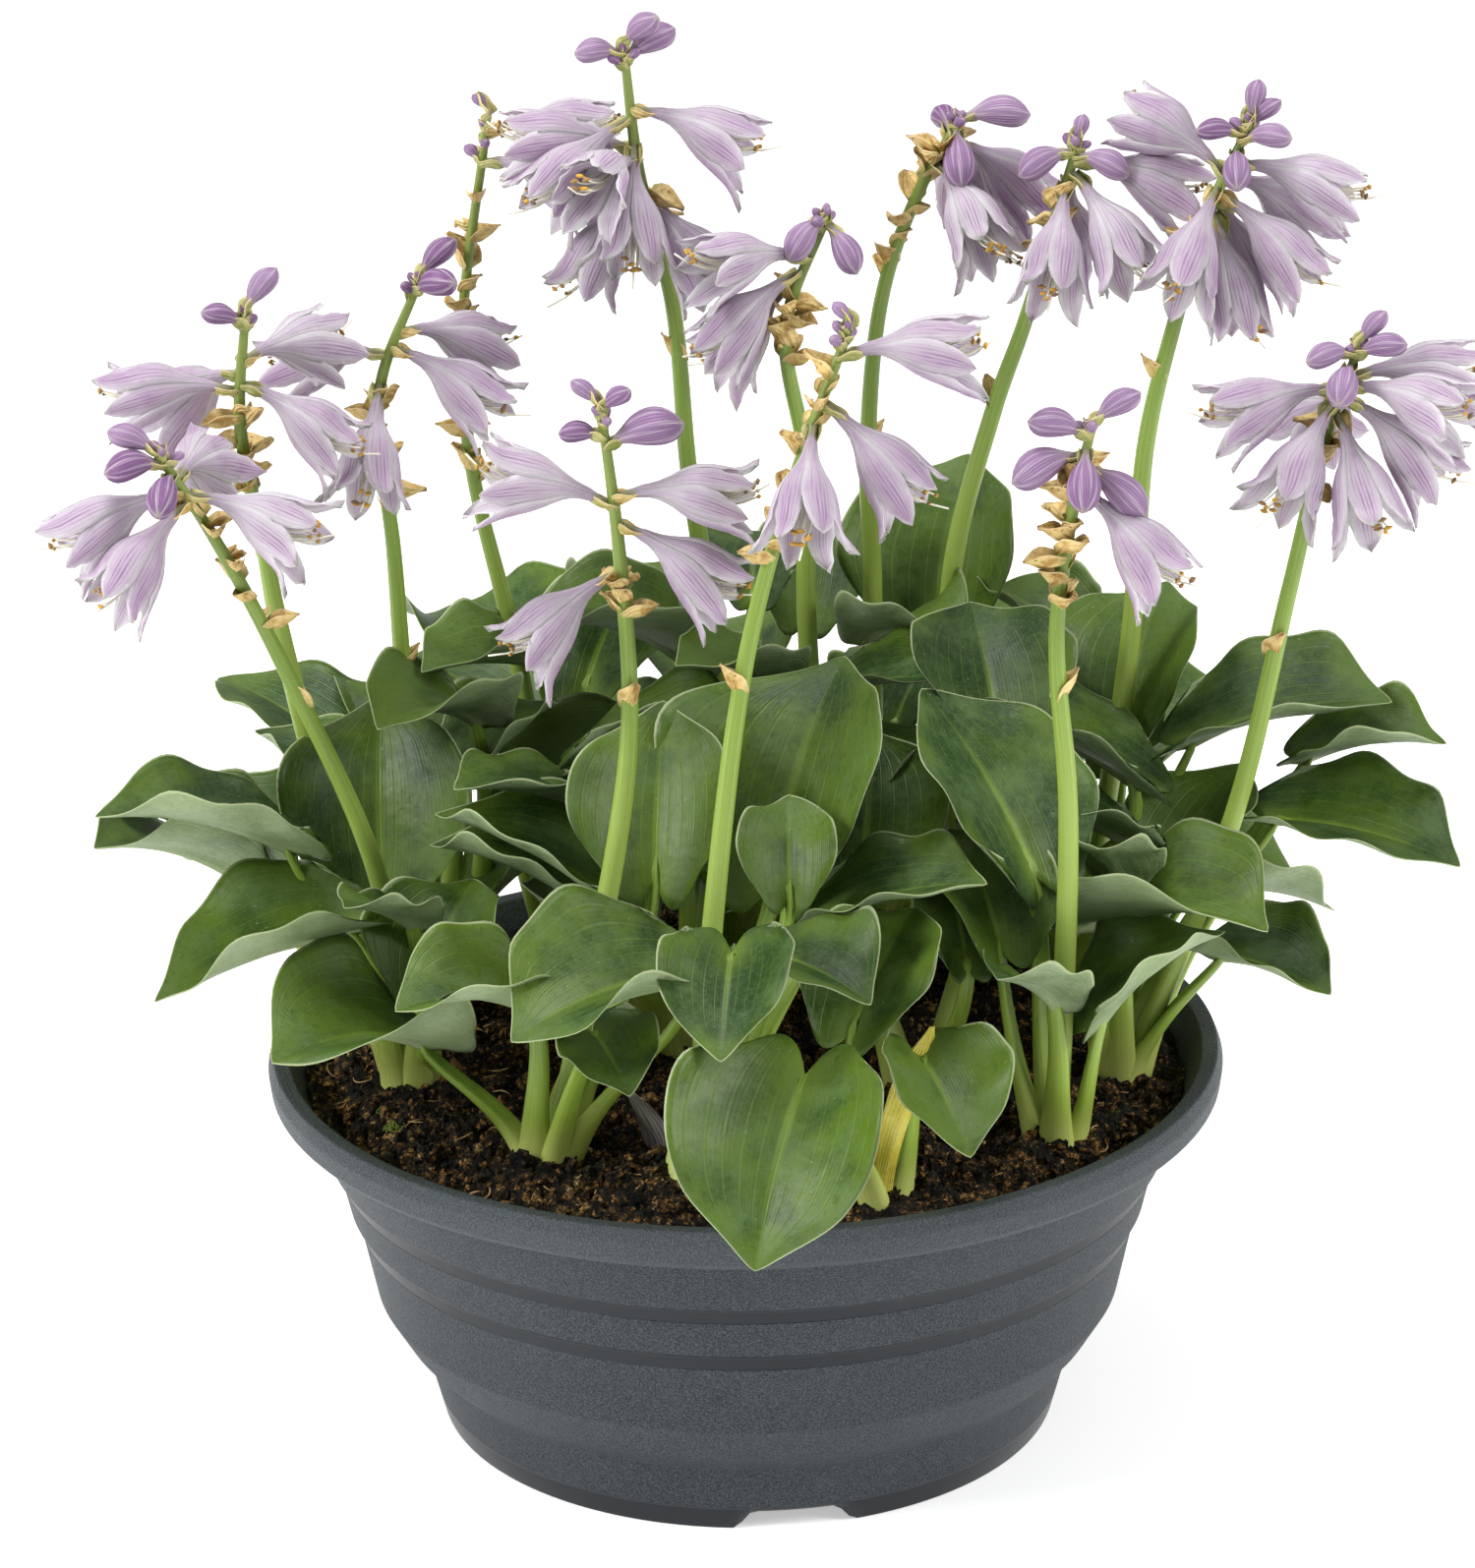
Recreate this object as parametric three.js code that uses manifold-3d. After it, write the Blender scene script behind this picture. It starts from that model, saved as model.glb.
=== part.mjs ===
// A potted hosta: a round plastic bowl pot filled with soil, and the leafy shoots of a
// small hosta in flower. Millimetres, +Z up. Everything is placed about the pot's axis, and
// the whole is then moved so that its origin is the middle of its outline, at the pot's foot.

import * as THREE from 'three';
import { mergeVertices } from 'three/addons/utils/BufferGeometryUtils.js';
import Module from 'manifold-3d';

const wasm = await Module();
wasm.setup();

// Driving dimensions of the pot
const RIM_RADIUS = 175.8;
const POT_HEIGHT = 143.5;
const FOOT_RADIUS = 115;
const FOOT_WALL = 7;
const FLOOR_UNDERSIDE = 8;
const FLOOR_TOP = 11;
const POT_SEGMENTS = 32;
const NOTCH_COUNT = 3;
const NOTCH_AZIMUTH = -82;
const NOTCH_HEIGHT = 7;
const NOTCH_WIDTH_BELOW = 43;
const NOTCH_WIDTH_ABOVE = 31;
const DRAIN_HOLES = 3;
const DRAIN_RADIUS = 6;
const DRAIN_CIRCLE = 78;

// Driving dimensions of the soil
const SOIL_LEVEL = 134;
const SOIL_RADIUS = 161;
const SOIL_RELIEF = 2.2;
const GAP = 0.35;
const CLEARANCE = 0.4;
const HOLE_RADIUS = 17;
const HOLE_DEPTH = 15;

// Driving dimensions of the plants
const CROWN_RADIUS = 12.5;
const CROWN_DEPTH = HOLE_DEPTH - GAP;
const STALK_CIRCLE = 8.4;
const BLADE_THICKNESS = 1.1;
const PETIOLE_BASE = 3.5;
const PETIOLE_TOP = 2.2;
const SCAPE_BASE = 4.2;
const SCAPE_TOP = 2.7;
const RACHIS_TIP = 1.5;
const BLOOM_LENGTH = 48;
const BLOOM_WIDTH = 31;
const BRACT_LENGTH = 12;
const FREE_FROM = 6;
const GOLDEN_ANGLE = 137.5;

const POT_COLOUR = 0x4b5257;
const SOIL_COLOUR = 0x3a281b;
const LEAF_COLOUR = 0x5f8059;
const BLOOM_COLOUR = 0xc7a9d6;

// Each shoot has a crown, a place on the soil. A leaf is azimuth, reach and rise of the
// joint of its stalk and blade from the crown, then the way the blade faces, its pitch and
// length, and its roll where it has one. A scape is the route of its flower stem above the
// soil, and head the share of that route below the lowest bract. Bracts are their number
// and the share of the head that they climb. A bloom or bud is its place along the head,
// azimuth and pitch, and a bud also has its length.
const SHOOTS = [
  {
    crown: [-122, -22],
    leaves: [
      [-175, 40, 95, -165, 15, 74], [-125, 30, 80, -165, 0, 76],
      [115, 25, 70, 95, 45, 72], [-80, 30, 75, -130, 25, 40],
      [-75, 40, 68, 80, 45, 50],
    ],
    scape: [[-131, -30, 217], [-160, -45, 302], [-182, -55, 354], [-199, -62, 386]],
    head: 0.55,
    bracts: [3, 0.6],
    blooms: [[0.72, 190, -25], [0.66, 222, -42], [0.8, 80, -12], [0.7, -12, -22]],
    buds: [[0.97, 170, 25, 20], [0.9, 200, 0, 22], [0.84, 262, -20, 24]],
  },
  {
    crown: [-133, 27],
    leaves: [
      [-150, 60, 85, -150, 20, 62, 10], [-150, 45, 78, -130, 0, 60],
      [150, 25, 78, 168, 0, 60], [100, 20, 78, 110, 28, 60],
    ],
    scape: [[-167, 15, 297], [-171, 12, 328], [-177, 5, 377], [-173, 0, 418]],
    head: 0.6,
    bracts: [3, 0.45],
    blooms: [[0.55, 180, -5], [0.66, 135, -30], [0.6, -10, -35], [0.72, 50, -5]],
    buds: [[1, 30, 50, 20], [0.93, 210, 25, 18]],
  },
  {
    crown: [-112, 64],
    leaves: [
      [-60, 28, 112, -155, 12, 60], [-75, 30, 95, 80, 45, 52],
      [140, 50, 85, 140, 15, 72], [100, 45, 75, 95, 5, 68],
    ],
    scape: [[-124, 50, 245], [-127, 45, 317], [-130, 40, 378], [-114, 35, 421]],
    head: 0.55,
    bracts: [3, 0.45],
    blooms: [[0.62, 190, -25], [0.5, 260, -55], [0.66, -15, -32], [0.74, 35, -20]],
    buds: [[1, 20, 45, 20], [0.93, -40, 20, 22]],
  },
  {
    crown: [-66, 88],
    leaves: [
      [175, 20, 120, 140, 10, 60], [-120, 20, 125, -150, 15, 55],
      [110, 50, 85, 110, 10, 74], [80, 30, 105, 70, 25, 64],
    ],
    scape: [[-85, 85, 264], [-100, 85, 339], [-102, 85, 388], [-90, 85, 471]],
    head: 0.45,
    bracts: [6, 0.85],
    blooms: [[0.96, 5, -5], [0.9, -12, -12]],
    buds: [[1, 150, 40, 9]],
  },
  {
    crown: [-4, 104],
    leaves: [
      [-125, 30, 130, -160, 10, 66], [175, 20, 130, 130, 5, 60],
      [-65, 20, 135, 100, 30, 50], [95, 50, 90, 95, 5, 74],
      [130, 45, 75, 130, -5, 66],
    ],
    scape: [[-11, 90, 271], [-19, 80, 336], [-24, 70, 402], [-35, 60, 452], [-40, 55, 500]],
    head: 0.68,
    bracts: [3, 0.28],
    blooms: [
      [0.66, 205, -60], [0.55, 268, -62], [0.7, -8, -22], [0.45, 196, -38],
      [0.36, 222, -52], [0.5, 165, -30], [0.3, 290, -68],
    ],
    buds: [[0.96, 185, 5, 18], [1, -35, 40, 20], [0.93, 20, 30, 22]],
  },
  {
    crown: [34, 72],
    leaves: [
      [-130, 32, 130, -140, 20, 52], [15, 15, 138, -50, 15, 50],
      [-95, 30, 136, -35, 15, 60],
    ],
    scape: [[24, 60, 290], [24, 50, 348], [17, 40, 402], [32, 40, 442]],
    head: 0.66,
    bracts: [3, 0.45],
    blooms: [[0.7, 185, -10], [0.62, 205, -48], [0.55, 165, -28]],
    buds: [[1, 212, -40, 22], [0.95, -35, -50, 22]],
  },
  {
    crown: [50, 118],
    leaves: [
      [-5, 25, 130, 90, 60, 70], [165, 26, 130, 80, 30, 52],
      [60, 50, 85, 60, 10, 72], [105, 45, 75, 100, 0, 64],
    ],
    scape: [[50, 110, 284], [48, 100, 341], [54, 90, 404], [70, 85, 448], [81, 85, 466]],
    head: 0.6,
    bracts: [4, 0.8],
    blooms: [[0.66, -12, -62], [0.8, 12, -48], [0.58, -48, -58], [0.74, 60, -40]],
    buds: [[1, -2, 5, 26], [0.93, 275, -45, 26], [0.86, 100, 10, 20]],
  },
  {
    crown: [88, 88],
    leaves: [
      [-50, 88, 100, 160, 35, 84], [10, 35, 130, 135, 10, 50],
      [70, 45, 85, 65, 15, 70],
    ],
    scape: [[78, 80, 287], [93, 70, 360], [104, 65, 395], [117, 60, 443], [122, 60, 462]],
    head: 0.66,
    bracts: [2, 0.4],
    blooms: [[0.6, 255, -65], [0.7, -45, -48], [0.8, 0, -20], [0.66, 120, -40]],
    buds: [[1, 60, 60, 12], [0.92, 190, -20, 22], [0.86, -12, -32, 22]],
  },
  {
    crown: [124, 56],
    leaves: [
      [-75, 70, 88, -165, 20, 62], [20, 20, 125, 65, 40, 60],
      [-25, 45, 110, -15, 15, 78], [-55, 60, 80, 70, 40, 56],
      [45, 45, 85, 40, 10, 68],
    ],
    scape: [[144, 58, 274], [148, 50, 354], [156, 45, 396], [168, 40, 442], [182, 40, 474]],
    head: 0.68,
    bracts: [2, 0.3],
    blooms: [
      [0.55, 238, -58], [0.7, -8, -18], [0.6, 14, -28], [0.5, -24, -42],
      [0.4, -58, -60], [0.62, 150, -12], [0.45, 40, -45],
    ],
    buds: [
      [1, 60, 65, 16], [0.95, 10, 40, 16], [0.9, 190, 10, 18], [0.86, -30, 10, 20],
      [0.8, 265, -25, 22],
    ],
  },
  {
    crown: [137, -15],
    leaves: [
      [18, 58, 92, -28, -6, 74], [-110, 30, 85, -25, 10, 72],
      [30, 80, 92, -20, 10, 54], [-15, 35, 50, -40, -5, 50],
      [60, 50, 70, 50, 5, 62],
    ],
    scape: [[175, -20, 231], [193, -25, 321], [204, -30, 380], [214, -30, 410]],
    head: 0.62,
    bracts: [2, 0.4],
    blooms: [
      [0.66, 190, -15], [0.58, 214, -48], [0.5, 270, -74], [0.6, -12, -40],
      [0.75, 12, -6], [0.68, -20, -20], [0.55, 95, -28],
    ],
    buds: [[0.94, 205, 0, 20], [0.86, 250, -25, 22], [1, 0, 55, 16], [0.92, -25, 20, 20]],
  },
  {
    crown: [110, -74],
    leaves: [
      [-95, 15, 65, -140, 30, 42], [165, 20, 70, 118, 40, 52],
      [-25, 15, 63, 40, 30, 56], [120, 15, 80, 130, 50, 80],
    ],
    scape: [[112, -85, 259], [107, -88, 328], [113, -88, 377], [118, -88, 399]],
    head: 0.52,
    bracts: [5, 0.6],
    blooms: [[0.5, -22, -45]],
    buds: [
      [0.9, 185, 18, 22], [1, 5, 35, 20], [0.82, 262, -50, 24], [0.74, 188, -18, 26],
      [0.66, -12, -48, 28],
    ],
  },
  {
    crown: [46, -122],
    leaves: [
      [-125, 46, 62, -108, -45, 74], [-175, 10, 62, 55, 35, 54],
      [-25, 15, 72, -70, -25, 50],
    ],
  },
  {
    crown: [-19, -112],
    leaves: [
      [65, 70, 90, 65, 50, 88], [40, 60, 92, -20, 10, 64],
      [40, 45, 80, 90, 45, 40], [10, 26, 85, -45, -8, 50],
      [-55, 25, 80, -95, -25, 52],
    ],
    scape: [[-10, -108, 240], [2, -100, 326], [19, -92, 386], [37, -86, 434]],
    head: 0.6,
    bracts: [4, 0.8],
    blooms: [[0.86, -5, 0], [0.66, -12, -48], [0.58, 262, -68]],
    buds: [[1, 150, 50, 10]],
  },
  {
    crown: [-70, -90],
    leaves: [
      [160, 45, 55, -165, 10, 72], [55, 45, 90, -160, 20, 76],
      [40, 50, 85, 85, 55, 66], [-25, 55, 80, -145, 0, 72],
      [-55, 30, 60, -70, -15, 40], [-105, 10, 70, -150, 10, 56],
    ],
    scape: [[-43, -75, 255], [-39, -72, 296], [-42, -70, 355], [-47, -70, 402]],
    head: 0.62,
    bracts: [2, 0.2],
    blooms: [[0.5, 180, 12], [0.22, 190, -40], [0.55, 0, -5], [0.42, -8, -25]],
    buds: [[1, 160, 40, 14], [0.98, -20, 40, 14], [0.85, 182, 8, 16], [0.8, 0, 18, 28]],
  },
  {
    crown: [62, -36],
    leaves: [
      [-170, 20, 85, 80, 45, 60], [40, 40, 120, 140, 5, 68],
      [130, 46, 108, 60, 35, 68], [-55, 30, 60, 100, 30, 42],
    ],
  },
  {
    crown: [-30, 10],
    leaves: [
      [160, 55, 100, 50, 30, 74], [180, 25, 115, 45, 20, 68],
      [-140, 30, 95, -145, 10, 64], [-45, 15, 110, 80, 30, 60],
      [-115, 60, 80, -155, 15, 62],
    ],
  },
];

// Small geometry helpers
const UP = new THREE.Vector3(0, 0, 1);
const radians = THREE.MathUtils.degToRad;

function headingOf(azimuth) {
  return new THREE.Vector3(Math.cos(radians(azimuth)), Math.sin(radians(azimuth)), 0);
}

function pitched(azimuth, pitch) {
  const heading = headingOf(azimuth).multiplyScalar(Math.cos(radians(pitch)));
  return heading.addScaledVector(UP, Math.sin(radians(pitch)));
}

// A share between 0 and 1 that differs evenly from one index to the next
function share(index, stream) {
  return (index * 0.618034 + stream * 0.414214) % 1;
}

function solidOf(points, faces) {
  const vertProperties = new Float32Array(points.flatMap((p) => [p.x, p.y, p.z]));
  const triVerts = new Uint32Array(faces.flat());
  return new wasm.Manifold(new wasm.Mesh({ numProp: 3, vertProperties, triVerts }));
}

function solidOfGeometry(geometry) {
  geometry.deleteAttribute('normal');
  geometry.deleteAttribute('uv');
  const merged = mergeVertices(geometry, 1e-4);
  const index = merged.index.array;
  const faces = [];
  for (let i = 0; i < index.length; i += 3) {
    const [a, b, c] = [index[i], index[i + 1], index[i + 2]];
    if (a !== b && b !== c && c !== a) faces.push([a, b, c]);
  }
  const place = merged.attributes.position;
  const pointAt = (_, i) => new THREE.Vector3().fromBufferAttribute(place, i);
  return solidOf(Array.from({ length: place.count }, pointAt), faces);
}

function geometryOf(solid) {
  const mesh = solid.getMesh();
  const geometry = new THREE.BufferGeometry();
  geometry.setAttribute('position', new THREE.BufferAttribute(mesh.vertProperties, 3));
  geometry.setIndex(new THREE.BufferAttribute(mesh.triVerts, 1));
  geometry.computeVertexNormals();
  return geometry;
}

function joined(solids) {
  return solids.reduce((sum, next) => sum.add(next));
}

// Faces between two rings that turn the same way. The rings may differ in their number of
// points, and an upper ring of one point is an apex.
function bandFaces(lower, upper) {
  const faces = [];
  const turns = upper.length > 1 ? upper.length : 0;
  let [i, j] = [0, 0];
  while (i < lower.length || j < turns) {
    const stepLower = (i + 1) / lower.length <= (j + 1) / turns;
    const [a, b] = [lower[i % lower.length], upper[j % upper.length]];
    if (j >= turns || (stepLower && i < lower.length)) {
      faces.push([a, lower[(i + 1) % lower.length], b]);
      i += 1;
    } else {
      faces.push([a, upper[(j + 1) % upper.length], b]);
      j += 1;
    }
  }
  return faces;
}

function capFaces(ring, reversed) {
  const faces = [];
  for (let i = 1; i < ring.length - 1; i += 1) {
    faces.push(reversed ? [ring[0], ring[i + 1], ring[i]] : [ring[0], ring[i], ring[i + 1]]);
  }
  return faces;
}

// A closed solid through rings of points, each ring turning anticlockwise about its axis.
// With a throat the last ring is the lip of a cup and the throat is the bottom inside it.
function lofted(rings, throat = null) {
  const points = rings.flat();
  let first = 0;
  const numbered = rings.map((ring) => {
    const numbers = ring.map((_, i) => first + i);
    first += ring.length;
    return numbers;
  });
  const faces = capFaces(numbered[0], true);
  for (let i = 0; i < numbered.length - 1; i += 1) {
    faces.push(...bandFaces(numbered[i], numbered[i + 1]));
  }
  const last = numbered[numbered.length - 1];
  if (throat === null) {
    faces.push(...capFaces(last, false));
  } else {
    last.forEach((number, i) => faces.push([number, last[(i + 1) % last.length], points.length]));
    points.push(throat);
  }
  return solidOf(points, faces);
}

function ringOf(centre, across, over, radius, sides, turn = 0) {
  return Array.from({ length: sides }, (_, i) => {
    const angle = (2 * Math.PI * (i + turn)) / sides;
    return centre.clone().addScaledVector(across, radius * Math.cos(angle))
      .addScaledVector(over, radius * Math.sin(angle));
  });
}

// A tapered tube along a curve that never runs along the side direction
function tube(curve, from, to, steps, sides, side, radiusAt) {
  const rings = [];
  for (let i = 0; i <= steps; i += 1) {
    const t = from + ((to - from) * i) / steps;
    const tangent = curve.getTangent(t);
    const across = new THREE.Vector3().crossVectors(side, tangent).normalize();
    const over = new THREE.Vector3().crossVectors(tangent, across);
    rings.push(ringOf(curve.getPoint(t), across, over, radiusAt(t), sides, 0.5));
  }
  return lofted(rings);
}

// A column with its foot and head level
function column(x, y, radius, bottom, top, sides) {
  const [east, north] = [new THREE.Vector3(1, 0, 0), new THREE.Vector3(0, 1, 0)];
  const ends = [bottom, top].map((z) => ringOf(new THREE.Vector3(x, y, z), east, north, radius, sides));
  return lofted(ends);
}

// A profile of radius and height turned about +Z
function turned(profile) {
  const geometry = new THREE.LatheGeometry(profile.map(([r, z]) => new THREE.Vector2(r, z)), POT_SEGMENTS);
  return geometry.rotateX(Math.PI / 2);
}

// Pot: a bowl with two stepped bands, a rolled rim, and a notched foot ring
const OUTER_WALL = [
  [FOOT_RADIUS, 0], [117.5, 9.5], [122, 27], [130.5, 36], [138.8, 50], [145.5, 82.5], [147.8, 84],
  [151, 98], [152.2, 103.5], [154.8, 105], [165.5, 129.8],
];
const RIM = [[169.8, 129.4], [174.8, 134], [RIM_RADIUS, 139], [173.5, POT_HEIGHT], [168, POT_HEIGHT - 0.6]];
const INNER_WALL = [[163.5, 134], [148.5, 100], [134, 48], [118, 28], [110, FLOOR_TOP]];

function pot() {
  const ring = FOOT_RADIUS - FOOT_WALL;
  const underside = [[0, FLOOR_UNDERSIDE], [ring - 2, FLOOR_UNDERSIDE], [ring, 0]];
  let body = solidOfGeometry(turned([...underside, ...OUTER_WALL, ...RIM, ...INNER_WALL, [0, FLOOR_TOP]]));
  for (let i = 0; i < NOTCH_COUNT; i += 1) {
    body = body.subtract(footNotch(NOTCH_AZIMUTH + (360 / NOTCH_COUNT) * i));
  }
  for (let i = 0; i < DRAIN_HOLES; i += 1) {
    const place = headingOf(NOTCH_AZIMUTH + (360 / DRAIN_HOLES) * i).multiplyScalar(DRAIN_CIRCLE);
    body = body.subtract(column(place.x, place.y, DRAIN_RADIUS, 0, FLOOR_TOP + 1, 6));
  }
  return body;
}

function footNotch(azimuth) {
  const [below, above, depth] = [NOTCH_WIDTH_BELOW / 2, NOTCH_WIDTH_ABOVE / 2, 30];
  const corners = [[-below, -1], [below, -1], [above, NOTCH_HEIGHT], [-above, NOTCH_HEIGHT]];
  const shape = new THREE.Shape(corners.map(([x, z]) => new THREE.Vector2(x, z)));
  const geometry = new THREE.ExtrudeGeometry(shape, { depth, bevelEnabled: false });
  geometry.rotateX(Math.PI / 2).translate(0, depth - FOOT_RADIUS - FOOT_WALL, 0);
  return solidOfGeometry(geometry.rotateZ(radians(azimuth + 90)));
}

// Soil: fills the pot, with an uneven top and a plain hole for each crown
function soilHeight(x, y) {
  const waves = Math.sin(x * 0.083 + 1.2) * Math.cos(y * 0.071) + 0.6 * Math.sin(x * 0.15 - y * 0.12);
  return SOIL_LEVEL + (SOIL_RELIEF * waves) / 1.6;
}

function soil() {
  const wall = INNER_WALL.slice(1).reverse().map(([r, z]) => [r - GAP, z]);
  wall[0][1] = FLOOR_TOP + GAP;
  const top = [[SOIL_RADIUS, SOIL_LEVEL - 4], [90, SOIL_LEVEL], [0, SOIL_LEVEL]];
  const geometry = turned([[0, FLOOR_TOP + GAP], ...wall, ...top]);
  const place = geometry.attributes.position;
  for (let i = 0; i < place.count; i += 1) {
    if (place.getZ(i) > SOIL_LEVEL - 1) place.setZ(i, soilHeight(place.getX(i), place.getY(i)));
  }
  const holes = SHOOTS.map(({ crown: [x, y] }) => (
    column(x, y, HOLE_RADIUS, SOIL_LEVEL - HOLE_DEPTH, SOIL_LEVEL + 8, 6)));
  return holes.reduce((body, hole) => body.subtract(hole), solidOfGeometry(geometry));
}

// Leaves: a blade is a heart drawn on an arched midrib, its sides cupped and waved
const WIDEST = 0.38;
const LOBE = 0.17;
const BLADE_ROWS = [0, 0.28, 0.66];
const BLADE_COLUMNS = [-1, -0.5, 0, 0.5, 1];

// Stalks stand evenly round their crown, in the order of their azimuths
function stanceOf(shoot, row) {
  const azimuths = shoot.leaves.map(([azimuth]) => azimuth).sort((a, b) => a - b);
  const turn = 360 / azimuths.length;
  const lag = azimuths.reduce((sum, azimuth, i) => sum + azimuth - turn * i, 0) / azimuths.length;
  return lag + turn * azimuths.indexOf(row[0]);
}

function leafOf(shoot, row, index, [pitchBy, turnBy, liftBy]) {
  const [azimuth, reach, rise, facing, pitch, length, roll = 0] = row;
  const droop = 20 + 30 * share(index, 1);
  const forward = pitched(facing + turnBy, pitch + pitchBy + droop / 2);
  const lean = roll + 16 * (share(index, 2) - 0.5);
  const side = headingOf(facing + turnBy + 90).applyAxisAngle(forward, radians(lean));
  const crown = new THREE.Vector3(...shoot.crown, SOIL_LEVEL);
  const joint = headingOf(azimuth).multiplyScalar(reach).add(crown).addScaledVector(UP, rise + liftBy);
  return {
    azimuth, crown, joint, forward, side, length,
    stance: stanceOf(shoot, row),
    normal: new THREE.Vector3().crossVectors(forward, side),
    width: length * (0.78 + 0.12 * share(index, 6)),
    droop: radians(droop),
    cup: 0.22 + 0.3 * share(index, 3),
    wave: 2.6 * (share(index, 4) - 0.3),
    phase: 2 * Math.PI * share(index, 5),
  };
}

function halfWidth(leaf, u) {
  const [past, before] = [(u - WIDEST) / (1 - WIDEST), (WIDEST - u) / WIDEST];
  const swell = u > WIDEST ? (1 - past * past) ** 0.8 : 1 - 0.38 * before * before;
  return (leaf.width / 2) * swell;
}

// The point at share u along the midrib and s across it, lifted off the blade's surface
function bladePoint(leaf, u, s, lift) {
  const turn = leaf.droop * u;
  const radius = leaf.length / leaf.droop;
  const forward = leaf.forward.clone().multiplyScalar(Math.cos(turn)).addScaledVector(leaf.normal, -Math.sin(turn));
  const normal = leaf.normal.clone().multiplyScalar(Math.cos(turn)).addScaledVector(leaf.forward, Math.sin(turn));
  const across = halfWidth(leaf, u) * s;
  const lobe = LOBE * leaf.length * (1 - u) ** 3 * Math.sin(Math.PI * Math.abs(s) ** 0.9);
  const cupped = (2 * leaf.cup * across * across) / leaf.width + 0.1 * Math.abs(across);
  const waved = leaf.wave * s * s * Math.sin(9 * u + leaf.phase + s) * Math.min(1, 4 * (1 - u));
  const curled = 3 * (1 - u) ** 4 * s * s;
  return leaf.joint.clone()
    .addScaledVector(leaf.forward, radius * Math.sin(turn))
    .addScaledVector(leaf.normal, radius * (Math.cos(turn) - 1))
    .addScaledVector(forward, -lobe)
    .addScaledVector(leaf.side, across)
    .addScaledVector(normal, cupped + waved + curled + lift);
}

function blade(leaf, grow = 0) {
  const grown = { ...leaf, length: leaf.length + grow, width: leaf.width + 2 * grow };
  const across = BLADE_COLUMNS.length;
  const tip = BLADE_ROWS.length * across;
  const points = [];
  for (const lift of [grow, -BLADE_THICKNESS - grow]) {
    for (const u of BLADE_ROWS) {
      for (const s of BLADE_COLUMNS) points.push(bladePoint(grown, u, s, lift));
    }
    points.push(bladePoint(grown, 1, 0, lift));
  }
  const upper = [];
  for (let at = 0; at < tip - across; at += 1) {
    const column = at % across;
    const [right, ahead, beyond] = [at + 1, at + across, at + across + 1];
    if (column < (across - 1) / 2) upper.push([at, ahead, right], [right, ahead, beyond]);
    else if (column < across - 1) upper.push([at, beyond, right], [at, ahead, beyond]);
  }
  for (let at = tip - across; at < tip - 1; at += 1) upper.push([at, tip, at + 1]);
  const margin = [];
  for (let column = 0; column < across; column += 1) margin.push(column);
  for (let at = 2 * across - 1; at < tip; at += across) margin.push(at);
  margin.push(tip);
  for (let at = tip - across; at > 0; at -= across) margin.push(at);
  const layer = tip + 1;
  const lower = upper.map(([a, b, c]) => [a + layer, c + layer, b + layer]);
  const edge = margin.flatMap((from, i) => {
    const to = margin[(i + 1) % margin.length];
    return [[from, to, to + layer], [from, to + layer, from + layer]];
  });
  return solidOf(points, [...upper, ...lower, ...edge]);
}

function petioleCurve(leaf) {
  const outward = headingOf(leaf.azimuth);
  const start = headingOf(leaf.stance).multiplyScalar(STALK_CIRCLE).add(leaf.crown).addScaledVector(UP, -7);
  const end = leaf.joint.clone().addScaledVector(leaf.forward, 3).addScaledVector(leaf.normal, -0.6 * BLADE_THICKNESS);
  const span = start.distanceTo(end);
  const arrival = leaf.forward.clone().multiplyScalar(0.75).add(UP).normalize();
  const rising = start.clone().addScaledVector(UP, 0.45 * span).addScaledVector(outward, 0.12 * span);
  return new THREE.CubicBezierCurve3(start, rising, end.clone().addScaledVector(arrival, -0.3 * span), end);
}

function petiole(leaf, grow = 0) {
  const side = headingOf(leaf.azimuth + 90);
  const radiusAt = (t) => (t < 1 ? PETIOLE_BASE + (PETIOLE_TOP - PETIOLE_BASE) * t : 0.4) + grow;
  const curve = petioleCurve(leaf);
  return tube(curve, 0, 1, 3, 3, side, radiusAt);
}

// Scapes, and the flowering heads on them
const NORTH = new THREE.Vector3(0, 1, 0);

function scapeCurve(shoot) {
  const foot = [...shoot.crown, SOIL_LEVEL - 8];
  const route = [foot, ...shoot.scape].map((point) => new THREE.Vector3(...point));
  return new THREE.CatmullRomCurve3(route, false, 'centripetal');
}

function scapeRadius(t, head) {
  if (t < head) return SCAPE_BASE + (SCAPE_TOP - SCAPE_BASE) * (t / head);
  return SCAPE_TOP + (RACHIS_TIP - SCAPE_TOP) * ((t - head) / (1 - head));
}

function scape(shoot) {
  return tube(scapeCurve(shoot), 0, shoot.head, 4, 5, NORTH, (t) => scapeRadius(t, shoot.head));
}

// A function that makes rings across a piece that grows from origin towards azimuth and pitch
function ringsFrom(origin, azimuth, pitch, grow) {
  const direction = pitched(azimuth, pitch);
  const across = new THREE.Vector3().crossVectors(UP, direction).normalize();
  const over = new THREE.Vector3().crossVectors(direction, across);
  return (along, radius, sides, turn = 0) => {
    const centre = origin.clone().addScaledVector(direction, along);
    return sides === 1 ? [centre] : ringOf(centre, across, over, radius + grow, sides, turn);
  };
}

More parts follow.
